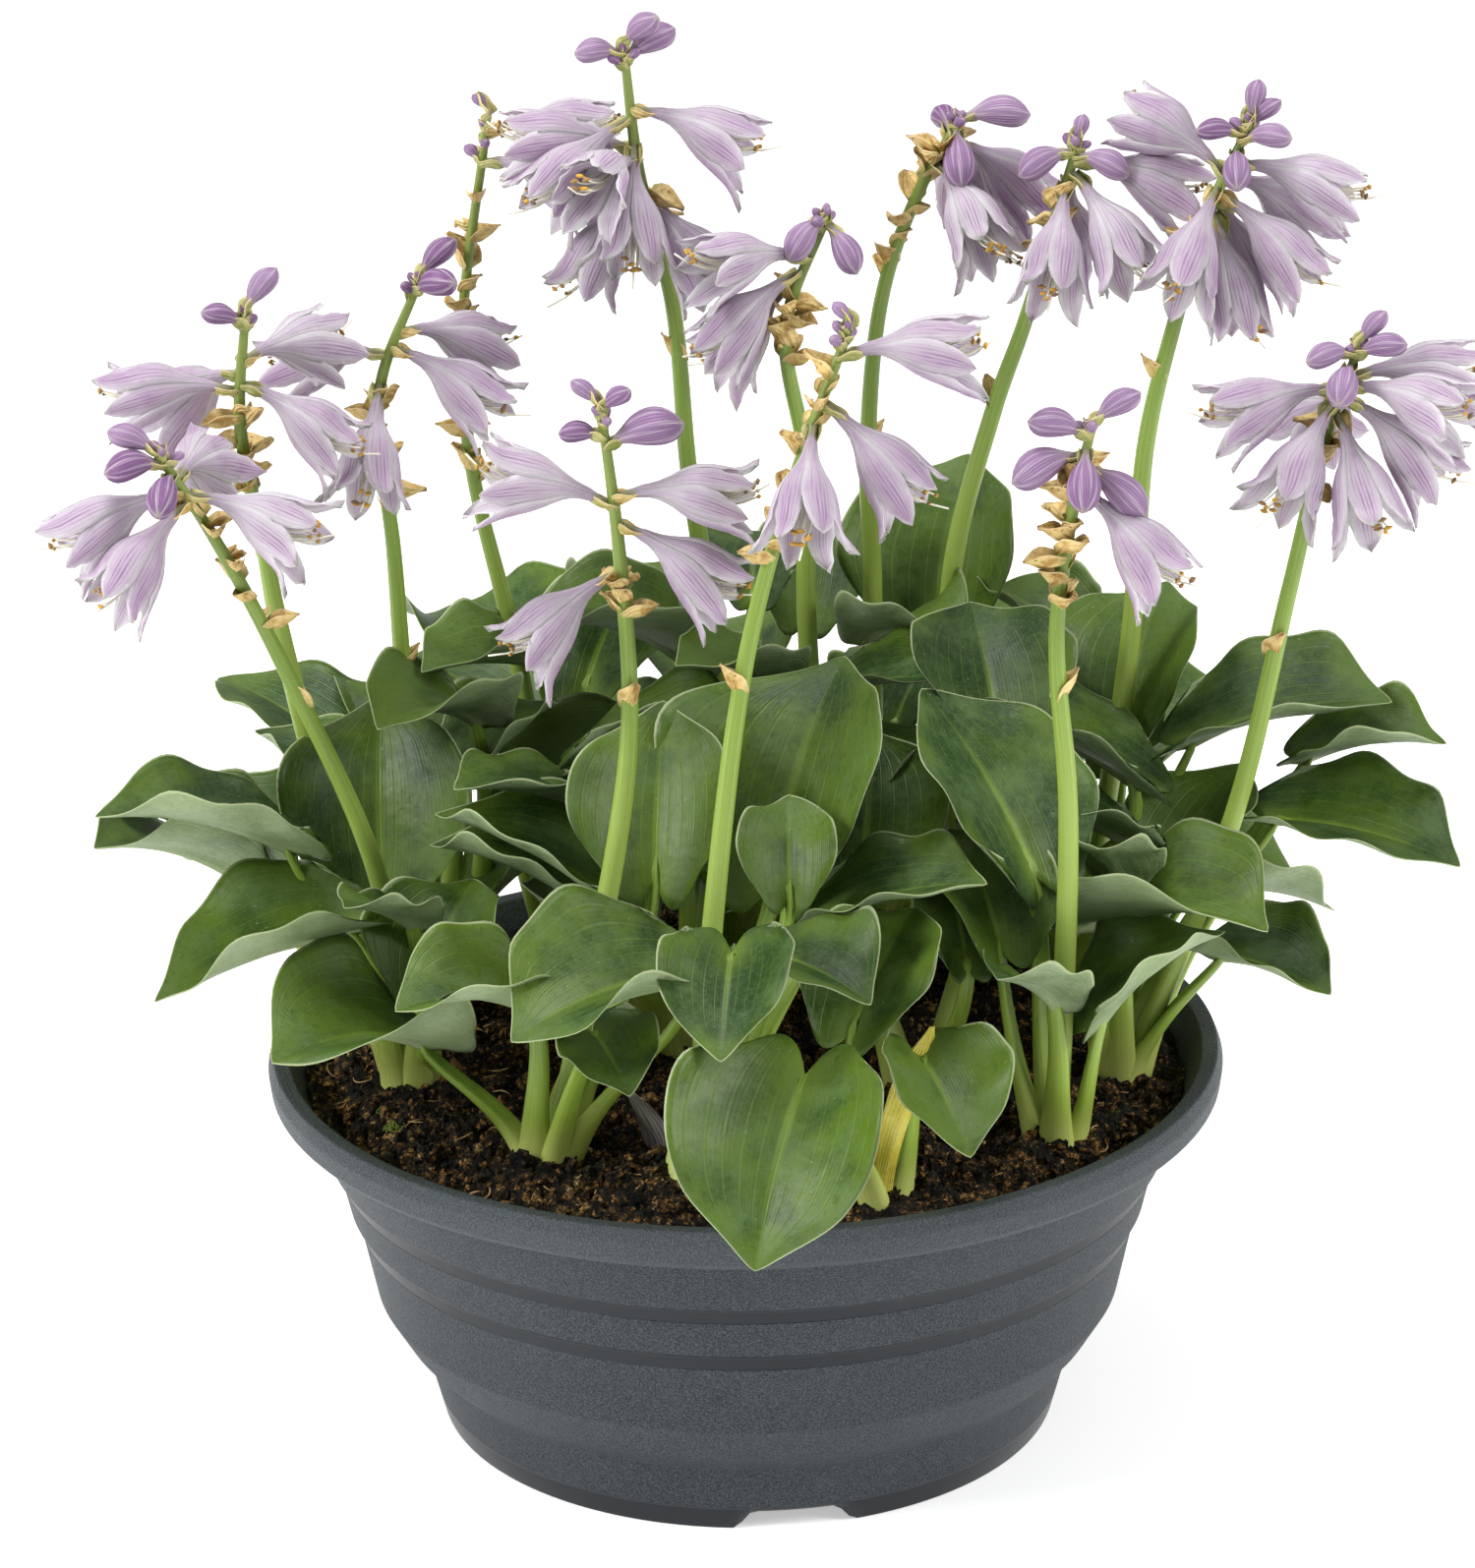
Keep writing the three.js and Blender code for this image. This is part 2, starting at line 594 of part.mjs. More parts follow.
// A bloom: a narrow tube that opens into a bell with six lobes
function bloom(origin, azimuth, pitch, grow = 0, from = 0) {
  const ring = ringsFrom(origin, azimuth, pitch, grow);
  const tips = ring(BLOOM_LENGTH + grow, BLOOM_WIDTH / 2, 6);
  const dips = ring(BLOOM_LENGTH * 0.8, BLOOM_WIDTH * 0.38, 6, 0.5);
  const lip = tips.flatMap((tip, i) => [tip, dips[i]]);
  const root = ring(from, 1.2 + 0.1 * from, 3);
  const rings = [root, ring(14, 2.9, 3), ring(28, 8.8, 6), lip];
  return lofted(rings, ring(22 - grow, 0, 1)[0]);
}

function bud(origin, azimuth, pitch, length, grow = 0, from = 0) {
  const ring = ringsFrom(origin, azimuth, pitch, grow);
  return lofted([ring(from, 1.1, 3), ring(length * 0.62, length * 0.18, 5), ring(length + grow, 0, 1)]);
}

// A spent flower's bract: a dry boat-shaped scale that stands out from the stem
function bract(origin, azimuth, pitch, grow = 0, from = 0) {
  const ring = ringsFrom(origin, azimuth, pitch, grow);
  const middle = ring(BRACT_LENGTH * 0.6, 2.6, 3, 0.25);
  return lofted([ring(from, 0.9, 3, 0.25), middle, ring(BRACT_LENGTH + grow, 0, 1)]);
}

// Placing: pieces are set one after another, and a piece that would cross one already set
// is turned by the smallest nudge that brings it clear
const placed = [];

function keep(solid, shoot, kind) {
  placed.push({ solid, shoot, kind, box: solid.boundingBox() });
}

function apart(box, other) {
  return [0, 1, 2].some((axis) => box.min[axis] > other.max[axis] || box.max[axis] < other.min[axis]);
}

// The volume that a solid shares with what is placed, apart from the pieces that it may touch.
// Crossing another shoot counts for more than crossing its own.
function shared(solid, shoot, mayTouch = () => false) {
  const box = solid.boundingBox();
  const near = placed.filter((other) => !mayTouch(other) && !apart(box, other.box));
  const weight = (other) => (other.shoot === shoot ? 1 : 20);
  return near.reduce((sum, other) => sum + weight(other) * solid.intersect(other.solid).volume(), 0);
}

function nudges(...ranges) {
  let list = [[]];
  for (const range of ranges) list = list.flatMap((row) => range.map((value) => [...row, value]));
  return list.sort((a, b) => Math.hypot(...a) - Math.hypot(...b));
}

const LEAF_NUDGES = nudges(
  [0, 8, -8, 16, -16, 24, 32],
  [0, 10, -10, 20, -20, 30, -30, 42, -42],
  [0, 8, -8, 16, -16, 26],
);
const FLOWER_NUDGES = nudges([0, 12, -12, 24, -24, 36, -36, 50], [0, 10, -10, 20, -20, 32]);

function firstClear(list, clashOf) {
  let best = null;
  for (const nudge of list) {
    const clash = clashOf(nudge);
    if (best === null || clash < best.clash) best = { nudge, clash };
    if (clash === 0) break;
  }
  return best.nudge;
}

function placeLeaf(shoot, number, row, index) {
  const ownStalk = (other) => other.shoot === number && other.kind !== 'blade';
  const nudge = firstClear(LEAF_NUDGES, (trial) => {
    const leaf = leafOf(shoot, row, index, trial);
    return shared(blade(leaf, CLEARANCE), number) + shared(petiole(leaf, CLEARANCE), number, ownStalk);
  });
  const leaf = leafOf(shoot, row, index, nudge);
  keep(blade(leaf), number, 'blade');
  keep(petiole(leaf), number, 'petiole');
}

// The point at a share of the flowering head, from its lowest bract to its tip
function pointOnHead(shoot, along) {
  return scapeCurve(shoot).getPoint(shoot.head + (1 - shoot.head) * along);
}

function placeFlower(number, origin, azimuth, pitch, make) {
  const [turn, dip] = firstClear(FLOWER_NUDGES, ([turnBy, dipBy]) => (
    shared(make(origin, azimuth + turnBy, pitch + dipBy, CLEARANCE, FREE_FROM), number)));
  keep(make(origin, azimuth + turn, pitch + dip), number, 'flower');
}

function placeHead(shoot, number) {
  const curve = scapeCurve(shoot);
  const start = shoot.head + GAP / curve.getLength();
  keep(tube(curve, start, 1, 4, 3, NORTH, (t) => scapeRadius(t, shoot.head)), number, 'flower');
  for (const [along, azimuth, pitch] of shoot.blooms) {
    placeFlower(number, pointOnHead(shoot, along), azimuth, pitch, bloom);
  }
  for (const [along, azimuth, pitch, length] of shoot.buds) {
    const make = (origin, turn, dip, grow, from) => bud(origin, turn, dip, length, grow, from);
    placeFlower(number, pointOnHead(shoot, along), azimuth, pitch, make);
  }
  const [count, top] = shoot.bracts;
  for (let i = 0; i < count; i += 1) {
    const origin = pointOnHead(shoot, 0.03 + (top * i) / count);
    placeFlower(number, origin, GOLDEN_ANGLE * (i + number), 20, bract);
  }
}

// The whole
function material(color, roughness) {
  return new THREE.MeshStandardMaterial({ color, roughness, metalness: 0 });
}

function named(name, solid, surface) {
  const mesh = new THREE.Mesh(geometryOf(solid), surface);
  mesh.name = name;
  return mesh;
}

const potSolid = pot();
const soilSolid = soil();
keep(potSolid, 'pot', 'pot');
keep(soilSolid, 'soil', 'soil');
const flowering = [...SHOOTS.entries()].filter(([, shoot]) => shoot.scape);
for (const [number, shoot] of flowering) keep(scape(shoot), number, 'scape');
for (const [number, shoot] of flowering) placeHead(shoot, number);
let leafCount = 0;
for (const [number, shoot] of SHOOTS.entries()) {
  for (const row of shoot.leaves) {
    placeLeaf(shoot, number, row, leafCount);
    leafCount += 1;
  }
}

const plant = new THREE.Group();
plant.add(named('pot', potSolid, material(POT_COLOUR, 0.6)));
plant.add(named('soil', soilSolid, material(SOIL_COLOUR, 0.95)));
const foliage = material(LEAF_COLOUR, 0.55);
const petals = material(BLOOM_COLOUR, 0.6);
for (const [number, shoot] of SHOOTS.entries()) {
  const label = String(number + 1).padStart(2, '0');
  const crown = column(...shoot.crown, CROWN_RADIUS, SOIL_LEVEL - CROWN_DEPTH, SOIL_LEVEL - 3, 6);
  const own = placed.filter((piece) => piece.shoot === number);
  const solidsOf = (flower) => own.filter(({ kind }) => (kind === 'flower') === flower).map(({ solid }) => solid);
  plant.add(named(`shoot_${label}`, joined([crown, ...solidsOf(false)]), foliage));
  if (shoot.scape) plant.add(named(`raceme_${label}`, joined(solidsOf(true)), petals));
}

const middle = new THREE.Box3().setFromObject(plant).getCenter(new THREE.Vector3());
for (const mesh of plant.children) mesh.geometry.translate(-middle.x, -middle.y, 0);

export default plant;
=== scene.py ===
"""The looks of a potted hosta in flower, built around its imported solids.

Sizes of the plant are in millimetres about the pot's axis, as in the tables of its solids.
Each finished piece is then set in the frame's place, in metres.
"""

import math
from types import SimpleNamespace

import bpy
import numpy as np
from mathutils import Matrix, Vector


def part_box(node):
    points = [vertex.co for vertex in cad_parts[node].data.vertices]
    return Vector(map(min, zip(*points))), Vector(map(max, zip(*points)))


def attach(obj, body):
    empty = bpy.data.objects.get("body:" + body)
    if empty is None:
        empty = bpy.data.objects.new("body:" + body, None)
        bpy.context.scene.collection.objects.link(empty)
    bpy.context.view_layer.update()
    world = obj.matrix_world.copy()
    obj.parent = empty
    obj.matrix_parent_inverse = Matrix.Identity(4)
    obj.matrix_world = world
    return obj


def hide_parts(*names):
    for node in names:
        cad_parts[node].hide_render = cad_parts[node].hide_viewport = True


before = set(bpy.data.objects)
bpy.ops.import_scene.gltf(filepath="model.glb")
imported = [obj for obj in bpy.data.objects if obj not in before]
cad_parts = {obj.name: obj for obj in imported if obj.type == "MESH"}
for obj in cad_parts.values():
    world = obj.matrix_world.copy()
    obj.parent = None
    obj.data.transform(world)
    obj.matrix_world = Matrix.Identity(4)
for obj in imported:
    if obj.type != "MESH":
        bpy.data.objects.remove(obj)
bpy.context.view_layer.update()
pot_low, pot_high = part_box("pot")
POT_AXIS = np.array([(pot_low.x + pot_high.x) / 2, (pot_low.y + pot_high.y) / 2, 0]) * 1000

# Sizes that the solids share with their looks
SOIL_LEVEL = 134
SOIL_RADIUS = 161
SOIL_RELIEF = 2.2
STALK_CIRCLE = 8.4
BLADE_THICKNESS = 1.1
SCAPE_BASE = 4.2
SCAPE_TOP = 2.7
RACHIS_TIP = 1.5
BLOOM_LENGTH = 48
BLOOM_WIDTH = 31
BRACT_LENGTH = 12
GOLDEN_ANGLE = 137.5
WIDEST = 0.38
LOBE = 0.17

# How a solid leaf may have been tilted, turned and raised clear of its neighbours, and a flower
# turned and dipped, in degrees and millimetres and in the order that they were tried
LEAF_NUDGES = (
    [0, 8, -8, 16, -16, 24, 32],
    [0, 10, -10, 20, -20, 30, -30, 42, -42],
    [0, 8, -8, 16, -16, 26],
)
FLOWER_NUDGES = ([0, 12, -12, 24, -24, 36, -36, 50], [0, 10, -10, 20, -20, 32])

# How near to a solid's corner a point counts as that corner
SAME_CORNER = 0.06

# The photograph's view, with the camera's distance in metres and its angles in degrees
PHOTO_LONG_SIDE = 1595
FOCAL_PIXELS = 5049
SENSOR = 36
VIEW_DISTANCE = 1.8
VIEW_DOWN = 19.77
VIEW_HEIGHT = 0.2414
VIEW_SIDEWAYS = -0.002
VIEW_ROLL = -0.56

# Each shoot has a crown, a place on the soil. A leaf is azimuth, reach and rise of the
# joint of its stalk and blade from the crown, then the way the blade faces, its pitch and
# length, and its roll where it has one. A scape is the route of its flower stem above the
# soil, and head the share of that route below the lowest bract. Bracts are their number
# and the share of the head that they climb. A bloom or bud is its place along the head,
# azimuth and pitch, and a bud also has its length.
SHOOTS = [
    {
        "crown": [-122, -22],
        "leaves": [
            [-175, 40, 95, -165, 15, 74], [-125, 30, 80, -165, 0, 76],
            [115, 25, 70, 95, 45, 72], [-80, 30, 75, -130, 25, 40],
            [-75, 40, 68, 80, 45, 50],
        ],
        "scape": [[-131, -30, 217], [-160, -45, 302], [-182, -55, 354], [-199, -62, 386]],
        "head": 0.55,
        "bracts": [3, 0.6],
        "blooms": [[0.72, 190, -25], [0.66, 222, -42], [0.8, 80, -12], [0.7, -12, -22]],
        "buds": [[0.97, 170, 25, 20], [0.9, 200, 0, 22], [0.84, 262, -20, 24]],
    },
    {
        "crown": [-133, 27],
        "leaves": [
            [-150, 60, 85, -150, 20, 62, 10], [-150, 45, 78, -130, 0, 60],
            [150, 25, 78, 168, 0, 60], [100, 20, 78, 110, 28, 60],
        ],
        "scape": [[-167, 15, 297], [-171, 12, 328], [-177, 5, 377], [-173, 0, 418]],
        "head": 0.6,
        "bracts": [3, 0.45],
        "blooms": [[0.55, 180, -5], [0.66, 135, -30], [0.6, -10, -35], [0.72, 50, -5]],
        "buds": [[1, 30, 50, 20], [0.93, 210, 25, 18]],
    },
    {
        "crown": [-112, 64],
        "leaves": [
            [-60, 28, 112, -155, 12, 60], [-75, 30, 95, 80, 45, 52],
            [140, 50, 85, 140, 15, 72], [100, 45, 75, 95, 5, 68],
        ],
        "scape": [[-124, 50, 245], [-127, 45, 317], [-130, 40, 378], [-114, 35, 421]],
        "head": 0.55,
        "bracts": [3, 0.45],
        "blooms": [[0.62, 190, -25], [0.5, 260, -55], [0.66, -15, -32], [0.74, 35, -20]],
        "buds": [[1, 20, 45, 20], [0.93, -40, 20, 22]],
    },
    {
        "crown": [-66, 88],
        "leaves": [
            [175, 20, 120, 140, 10, 60], [-120, 20, 125, -150, 15, 55],
            [110, 50, 85, 110, 10, 74], [80, 30, 105, 70, 25, 64],
        ],
        "scape": [[-85, 85, 264], [-100, 85, 339], [-102, 85, 388], [-90, 85, 471]],
        "head": 0.45,
        "bracts": [6, 0.85],
        "blooms": [[0.96, 5, -5], [0.9, -12, -12]],
        "buds": [[1, 150, 40, 9]],
    },
    {
        "crown": [-4, 104],
        "leaves": [
            [-125, 30, 130, -160, 10, 66], [175, 20, 130, 130, 5, 60],
            [-65, 20, 135, 100, 30, 50], [95, 50, 90, 95, 5, 74],
            [130, 45, 75, 130, -5, 66],
        ],
        "scape": [[-11, 90, 271], [-19, 80, 336], [-24, 70, 402], [-35, 60, 452], [-40, 55, 500]],
        "head": 0.68,
        "bracts": [3, 0.28],
        "blooms": [
            [0.66, 205, -60], [0.55, 268, -62], [0.7, -8, -22], [0.45, 196, -38],
            [0.36, 222, -52], [0.5, 165, -30], [0.3, 290, -68],
        ],
        "buds": [[0.96, 185, 5, 18], [1, -35, 40, 20], [0.93, 20, 30, 22]],
    },
    {
        "crown": [34, 72],
        "leaves": [
            [-130, 32, 130, -140, 20, 52], [15, 15, 138, -50, 15, 50],
            [-95, 30, 136, -35, 15, 60],
        ],
        "scape": [[24, 60, 290], [24, 50, 348], [17, 40, 402], [32, 40, 442]],
        "head": 0.66,
        "bracts": [3, 0.45],
        "blooms": [[0.7, 185, -10], [0.62, 205, -48], [0.55, 165, -28]],
        "buds": [[1, 212, -40, 22], [0.95, -35, -50, 22]],
    },
    {
        "crown": [50, 118],
        "leaves": [
            [-5, 25, 130, 90, 60, 70], [165, 26, 130, 80, 30, 52],
            [60, 50, 85, 60, 10, 72], [105, 45, 75, 100, 0, 64],
        ],
        "scape": [[50, 110, 284], [48, 100, 341], [54, 90, 404], [70, 85, 448], [81, 85, 466]],
        "head": 0.6,
        "bracts": [4, 0.8],
        "blooms": [[0.66, -12, -62], [0.8, 12, -48], [0.58, -48, -58], [0.74, 60, -40]],
        "buds": [[1, -2, 5, 26], [0.93, 275, -45, 26], [0.86, 100, 10, 20]],
    },
    {
        "crown": [88, 88],
        "leaves": [
            [-50, 88, 100, 160, 35, 84], [10, 35, 130, 135, 10, 50],
            [70, 45, 85, 65, 15, 70],
        ],
        "scape": [[78, 80, 287], [93, 70, 360], [104, 65, 395], [117, 60, 443], [122, 60, 462]],
        "head": 0.66,
        "bracts": [2, 0.4],
        "blooms": [[0.6, 255, -65], [0.7, -45, -48], [0.8, 0, -20], [0.66, 120, -40]],
        "buds": [[1, 60, 60, 12], [0.92, 190, -20, 22], [0.86, -12, -32, 22]],
    },
    {
        "crown": [124, 56],
        "leaves": [
            [-75, 70, 88, -165, 20, 62], [20, 20, 125, 65, 40, 60],
            [-25, 45, 110, -15, 15, 78], [-55, 60, 80, 70, 40, 56],
            [45, 45, 85, 40, 10, 68],
        ],
        "scape": [[144, 58, 274], [148, 50, 354], [156, 45, 396], [168, 40, 442], [182, 40, 474]],
        "head": 0.68,
        "bracts": [2, 0.3],
        "blooms": [
            [0.55, 238, -58], [0.7, -8, -18], [0.6, 14, -28], [0.5, -24, -42],
            [0.4, -58, -60], [0.62, 150, -12], [0.45, 40, -45],
        ],
        "buds": [
            [1, 60, 65, 16], [0.95, 10, 40, 16], [0.9, 190, 10, 18], [0.86, -30, 10, 20],
            [0.8, 265, -25, 22],
        ],
    },
    {
        "crown": [137, -15],
        "leaves": [
            [18, 58, 92, -28, -6, 74], [-110, 30, 85, -25, 10, 72],
            [30, 80, 92, -20, 10, 54], [-15, 35, 50, -40, -5, 50],
            [60, 50, 70, 50, 5, 62],
        ],
        "scape": [[175, -20, 231], [193, -25, 321], [204, -30, 380], [214, -30, 410]],
        "head": 0.62,
        "bracts": [2, 0.4],
        "blooms": [
            [0.66, 190, -15], [0.58, 214, -48], [0.5, 270, -74], [0.6, -12, -40],
            [0.75, 12, -6], [0.68, -20, -20], [0.55, 95, -28],
        ],
        "buds": [[0.94, 205, 0, 20], [0.86, 250, -25, 22], [1, 0, 55, 16], [0.92, -25, 20, 20]],
    },
    {
        "crown": [110, -74],
        "leaves": [
            [-95, 15, 65, -140, 30, 42], [165, 20, 70, 118, 40, 52],
            [-25, 15, 63, 40, 30, 56], [120, 15, 80, 130, 50, 80],
        ],
        "scape": [[112, -85, 259], [107, -88, 328], [113, -88, 377], [118, -88, 399]],
        "head": 0.52,
        "bracts": [5, 0.6],
        "blooms": [[0.5, -22, -45]],
        "buds": [
            [0.9, 185, 18, 22], [1, 5, 35, 20], [0.82, 262, -50, 24], [0.74, 188, -18, 26],
            [0.66, -12, -48, 28],
        ],
    },
    {
        "crown": [46, -122],
        "leaves": [
            [-125, 46, 62, -108, -45, 74], [-175, 10, 62, 55, 35, 54],
            [-25, 15, 72, -70, -25, 50],
        ],
    },
    {
        "crown": [-19, -112],
        "leaves": [
            [65, 70, 90, 65, 50, 88], [40, 60, 92, -20, 10, 64],
            [40, 45, 80, 90, 45, 40], [10, 26, 85, -45, -8, 50],
            [-55, 25, 80, -95, -25, 52],
        ],
        "scape": [[-10, -108, 240], [2, -100, 326], [19, -92, 386], [37, -86, 434]],
        "head": 0.6,
        "bracts": [4, 0.8],
        "blooms": [[0.86, -5, 0], [0.66, -12, -48], [0.58, 262, -68]],
        "buds": [[1, 150, 50, 10]],
    },
    {
        "crown": [-70, -90],
        "leaves": [
            [160, 45, 55, -165, 10, 72], [55, 45, 90, -160, 20, 76],
            [40, 50, 85, 85, 55, 66], [-25, 55, 80, -145, 0, 72],
            [-55, 30, 60, -70, -15, 40], [-105, 10, 70, -150, 10, 56],
        ],
        "scape": [[-43, -75, 255], [-39, -72, 296], [-42, -70, 355], [-47, -70, 402]],
        "head": 0.62,
        "bracts": [2, 0.2],
        "blooms": [[0.5, 180, 12], [0.22, 190, -40], [0.55, 0, -5], [0.42, -8, -25]],
        "buds": [[1, 160, 40, 14], [0.98, -20, 40, 14], [0.85, 182, 8, 16], [0.8, 0, 18, 28]],
    },
    {
        "crown": [62, -36],
        "leaves": [
            [-170, 20, 85, 80, 45, 60], [40, 40, 120, 140, 5, 68],
            [130, 46, 108, 60, 35, 68], [-55, 30, 60, 100, 30, 42],
        ],
    },
    {
        "crown": [-30, 10],
        "leaves": [
            [160, 55, 100, 50, 30, 74], [180, 25, 115, 45, 20, 68],
            [-140, 30, 95, -145, 10, 64], [-45, 15, 110, 80, 30, 60],
            [-115, 60, 80, -155, 15, 62],
        ],
    },
]

UP = np.array([0.0, 0.0, 1.0])
NORTH = np.array([0.0, 1.0, 0.0])

# Steps that spread shares evenly, and numbers that scatter others as if drawn at random
GOLDEN_STEP = 0.618034
SILVER_STEP = 0.414214
SCATTER_WEIGHTS = (12.9898, 78.233, 37.719)
SCATTER_SCALE = 43758.5453


# Directions, curves and grids
def heading(azimuth):
    """The level direction at an azimuth in degrees."""
    angle = math.radians(azimuth)
    return np.array([math.cos(angle), math.sin(angle), 0.0])


def pitched(azimuth, pitch):
    """The direction at an azimuth, raised by a pitch."""
    angle = math.radians(pitch)
    return heading(azimuth) * math.cos(angle) + UP * math.sin(angle)


def unit(vector):
    """A vector, or each vector of an array, at length one."""
    return vector / np.linalg.norm(vector, axis=-1, keepdims=True)


def turned_about(vector, axis, degrees):
    """A vector turned about an axis."""
    return np.array(Matrix.Rotation(math.radians(degrees), 3, Vector(axis)) @ Vector(vector))


def share(index, stream):
    """A share between 0 and 1 that differs evenly from one index to the next."""
    return (index * GOLDEN_STEP + stream * SILVER_STEP) % 1


def between(limits, index, stream):
    """A value between two limits that differs evenly from one index to the next."""
    low, high = limits
    return low + (high - low) * share(index, stream)


def spread(*seeds):
    """A number from -1 to 1 that looks drawn at random and depends only on its seeds."""
    mixed = sum(seed * weight for seed, weight in zip(seeds, SCATTER_WEIGHTS))
    value = math.sin(mixed) * SCATTER_SCALE
    return 2 * (value - math.floor(value)) - 1


def eased(value, low, high):
    """0 below low, 1 above high, and a smooth rise between them."""
    t = np.clip((value - low) / (high - low), 0, 1)
    return t * t * (3 - 2 * t)


def profile(at, stations):
    """A smooth curve through stations of place and value."""
    places, values = np.array(stations, float).T
    slopes = np.gradient(values, places)
    k = np.clip(np.searchsorted(places, at, side="right") - 1, 0, len(places) - 2)
    gap = places[k + 1] - places[k]
    t = np.clip((at - places[k]) / gap, 0, 1)
    start, end = values[k], values[k + 1]
    bend_in, bend_out = slopes[k] * gap, slopes[k + 1] * gap
    rise = 3 * (end - start) - 2 * bend_in - bend_out
    fall = 2 * (start - end) + bend_in + bend_out
    return start + t * (bend_in + t * (rise + t * fall))


def tube_frame(points, side):
    """The directions across and over at each point of a curve, as the solids' tubes have them."""
    tangents = unit(np.gradient(points, axis=0))
    across = unit(np.cross(np.broadcast_to(side, points.shape), tangents))
    return across, np.cross(tangents, across)


def ring(sides, turn=0.0):
    """Cosines and sines of even steps around a circle, all shifted by turn steps."""
    angles = 2 * np.pi * (np.arange(sides) + turn) / sides
    return np.cos(angles), np.sin(angles)


def tube(points, across, over, wide, deep=None):
    """A closed tube through points. wide and deep are its half widths at each point and angle."""
    deep = wide if deep is None else deep
    rows, sides = wide.shape
    cos, sin = ring(sides)
    corners = points[:, None, :] + across[:, None, :] * (wide * cos)[..., None]
    corners = corners + over[:, None, :] * (deep * sin)[..., None]
    number = np.arange(rows * sides).reshape(rows, sides)
    beside = np.roll(number, -1, axis=1)
    walls = np.stack([number[:-1], beside[:-1], beside[1:], number[1:]], -1).reshape(-1, 4)
    faces = walls.tolist() + [number[0, ::-1].tolist(), number[-1].tolist()]
    return corners.reshape(-1, 3), faces


def shell(upper, lower):
    """A closed sheet between two grids of corners. Going along and then across faces upwards."""
    rows, columns = upper.shape[:2]
    number = np.arange(rows * columns).reshape(rows, columns)
    top = np.stack([number[:-1, :-1], number[1:, :-1], number[1:, 1:], number[:-1, 1:]], -1).reshape(-1, 4)
    under = top[:, ::-1] + rows * columns
    edge = np.concatenate([number[:, 0], number[-1, 1:], number[-2::-1, -1], number[0, -2:0:-1]])
    beyond = np.roll(edge, -1)
    rim = np.stack([beyond, edge, edge + rows * columns, beyond + rows * columns], -1)
    corners = np.concatenate([upper.reshape(-1, 3), lower.reshape(-1, 3)])
    kinds = [0] * len(top) + [1] * len(under) + [0] * len(rim)
    return corners, top.tolist() + under.tolist() + rim.tolist(), kinds


class Piece:
    """Gathers closed surfaces into one mesh. Each corner keeps its place on its own surface,
    as shares across and along and a distance from the edge, and the tone of that surface."""

    def __init__(self):
        self.corners = []
        self.faces = []
        self.kinds = []
        self.places = []
        self.tones = []
        self.count = 0

    def add(self, corners, faces, places, tone=0.5, kinds=None):
        """Takes in one closed surface. kinds picks each face's finish, the first if not given."""
        self.corners.append(corners)
        self.faces += [[corner + self.count for corner in face] for face in faces]
        self.kinds += kinds if kinds is not None else [0] * len(faces)
        self.places.append(places)
        self.tones.append(np.full(len(corners), float(tone)))
        self.count += len(corners)

    def make(self, name, finishes, slot, *nodes):
        """Makes all that was gathered a piece, with places and tones as attributes."""
        mesh = bpy.data.meshes.new(name)
        corners = (np.concatenate(self.corners) + POT_AXIS) / 1000
        mesh.from_pydata(corners.tolist(), [], self.faces)
        mesh.polygons.foreach_set("material_index", self.kinds)
        mesh.polygons.foreach_set("use_smooth", [True] * len(self.faces))
        place = mesh.attributes.new("place", "FLOAT_VECTOR", "POINT")
        place.data.foreach_set("vector", np.concatenate(self.places).astype(np.float32).ravel())
        tone = mesh.attributes.new("tone", "FLOAT", "POINT")
        tone.data.foreach_set("value", np.concatenate(self.tones).astype(np.float32))
        return finished(mesh, name, finishes, slot, *nodes)


def finished(mesh, name, finishes, slot, *nodes):
    """Puts a mesh in the scene as a piece that rides on the plant's one body."""
    for finish in finishes:
        mesh.materials.append(finish)
    mesh.validate()
    piece = bpy.data.objects.new(name, mesh)
    bpy.context.collection.objects.link(piece)
    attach(piece, "root")
    if nodes:
        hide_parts(*nodes)
    return piece


# Finding how each solid leaf and flower was nudged clear of its neighbours
def corners_of(node):
    """The corners of a solid, in millimetres about the pot's axis."""
    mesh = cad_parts[node].data
    corners = np.empty(3 * len(mesh.vertices))
    mesh.vertices.foreach_get("co", corners)
    return np.unique(np.round(corners.reshape(-1, 3) * 1000 - POT_AXIS, 2), axis=0)


def best_nudge(ranges, marks_of, corners):
    """The nudge whose marked points lie on the most corners of the solid."""
    nudges = np.stack(np.meshgrid(*ranges, indexing="ij"), -1).reshape(-1, len(ranges))
    best, most, nearest = nudges[0], -1, 0.0
    for nudge in nudges:
        marks = marks_of(nudge)
        gaps = np.linalg.norm(marks[:, None] - corners[None], axis=-1).min(axis=1)
        hits = int((gaps < SAME_CORNER).sum())
        if hits > most or (hits == most and gaps.sum() < nearest):
            best, most, nearest = nudge, hits, gaps.sum()
        if hits == len(marks):
            break
    return best


# Leaves
DROOPS = (20, 50)


def stance_of(shoot, row):
    """Where a leaf's stalk stands on its crown: the stalks are spaced evenly, in the leaves' order."""
    azimuths = sorted(leaf[0] for leaf in shoot["leaves"])
    turn = 360 / len(azimuths)
    lag = sum(azimuth - turn * i for i, azimuth in enumerate(azimuths)) / len(azimuths)
    return lag + turn * azimuths.index(row[0])


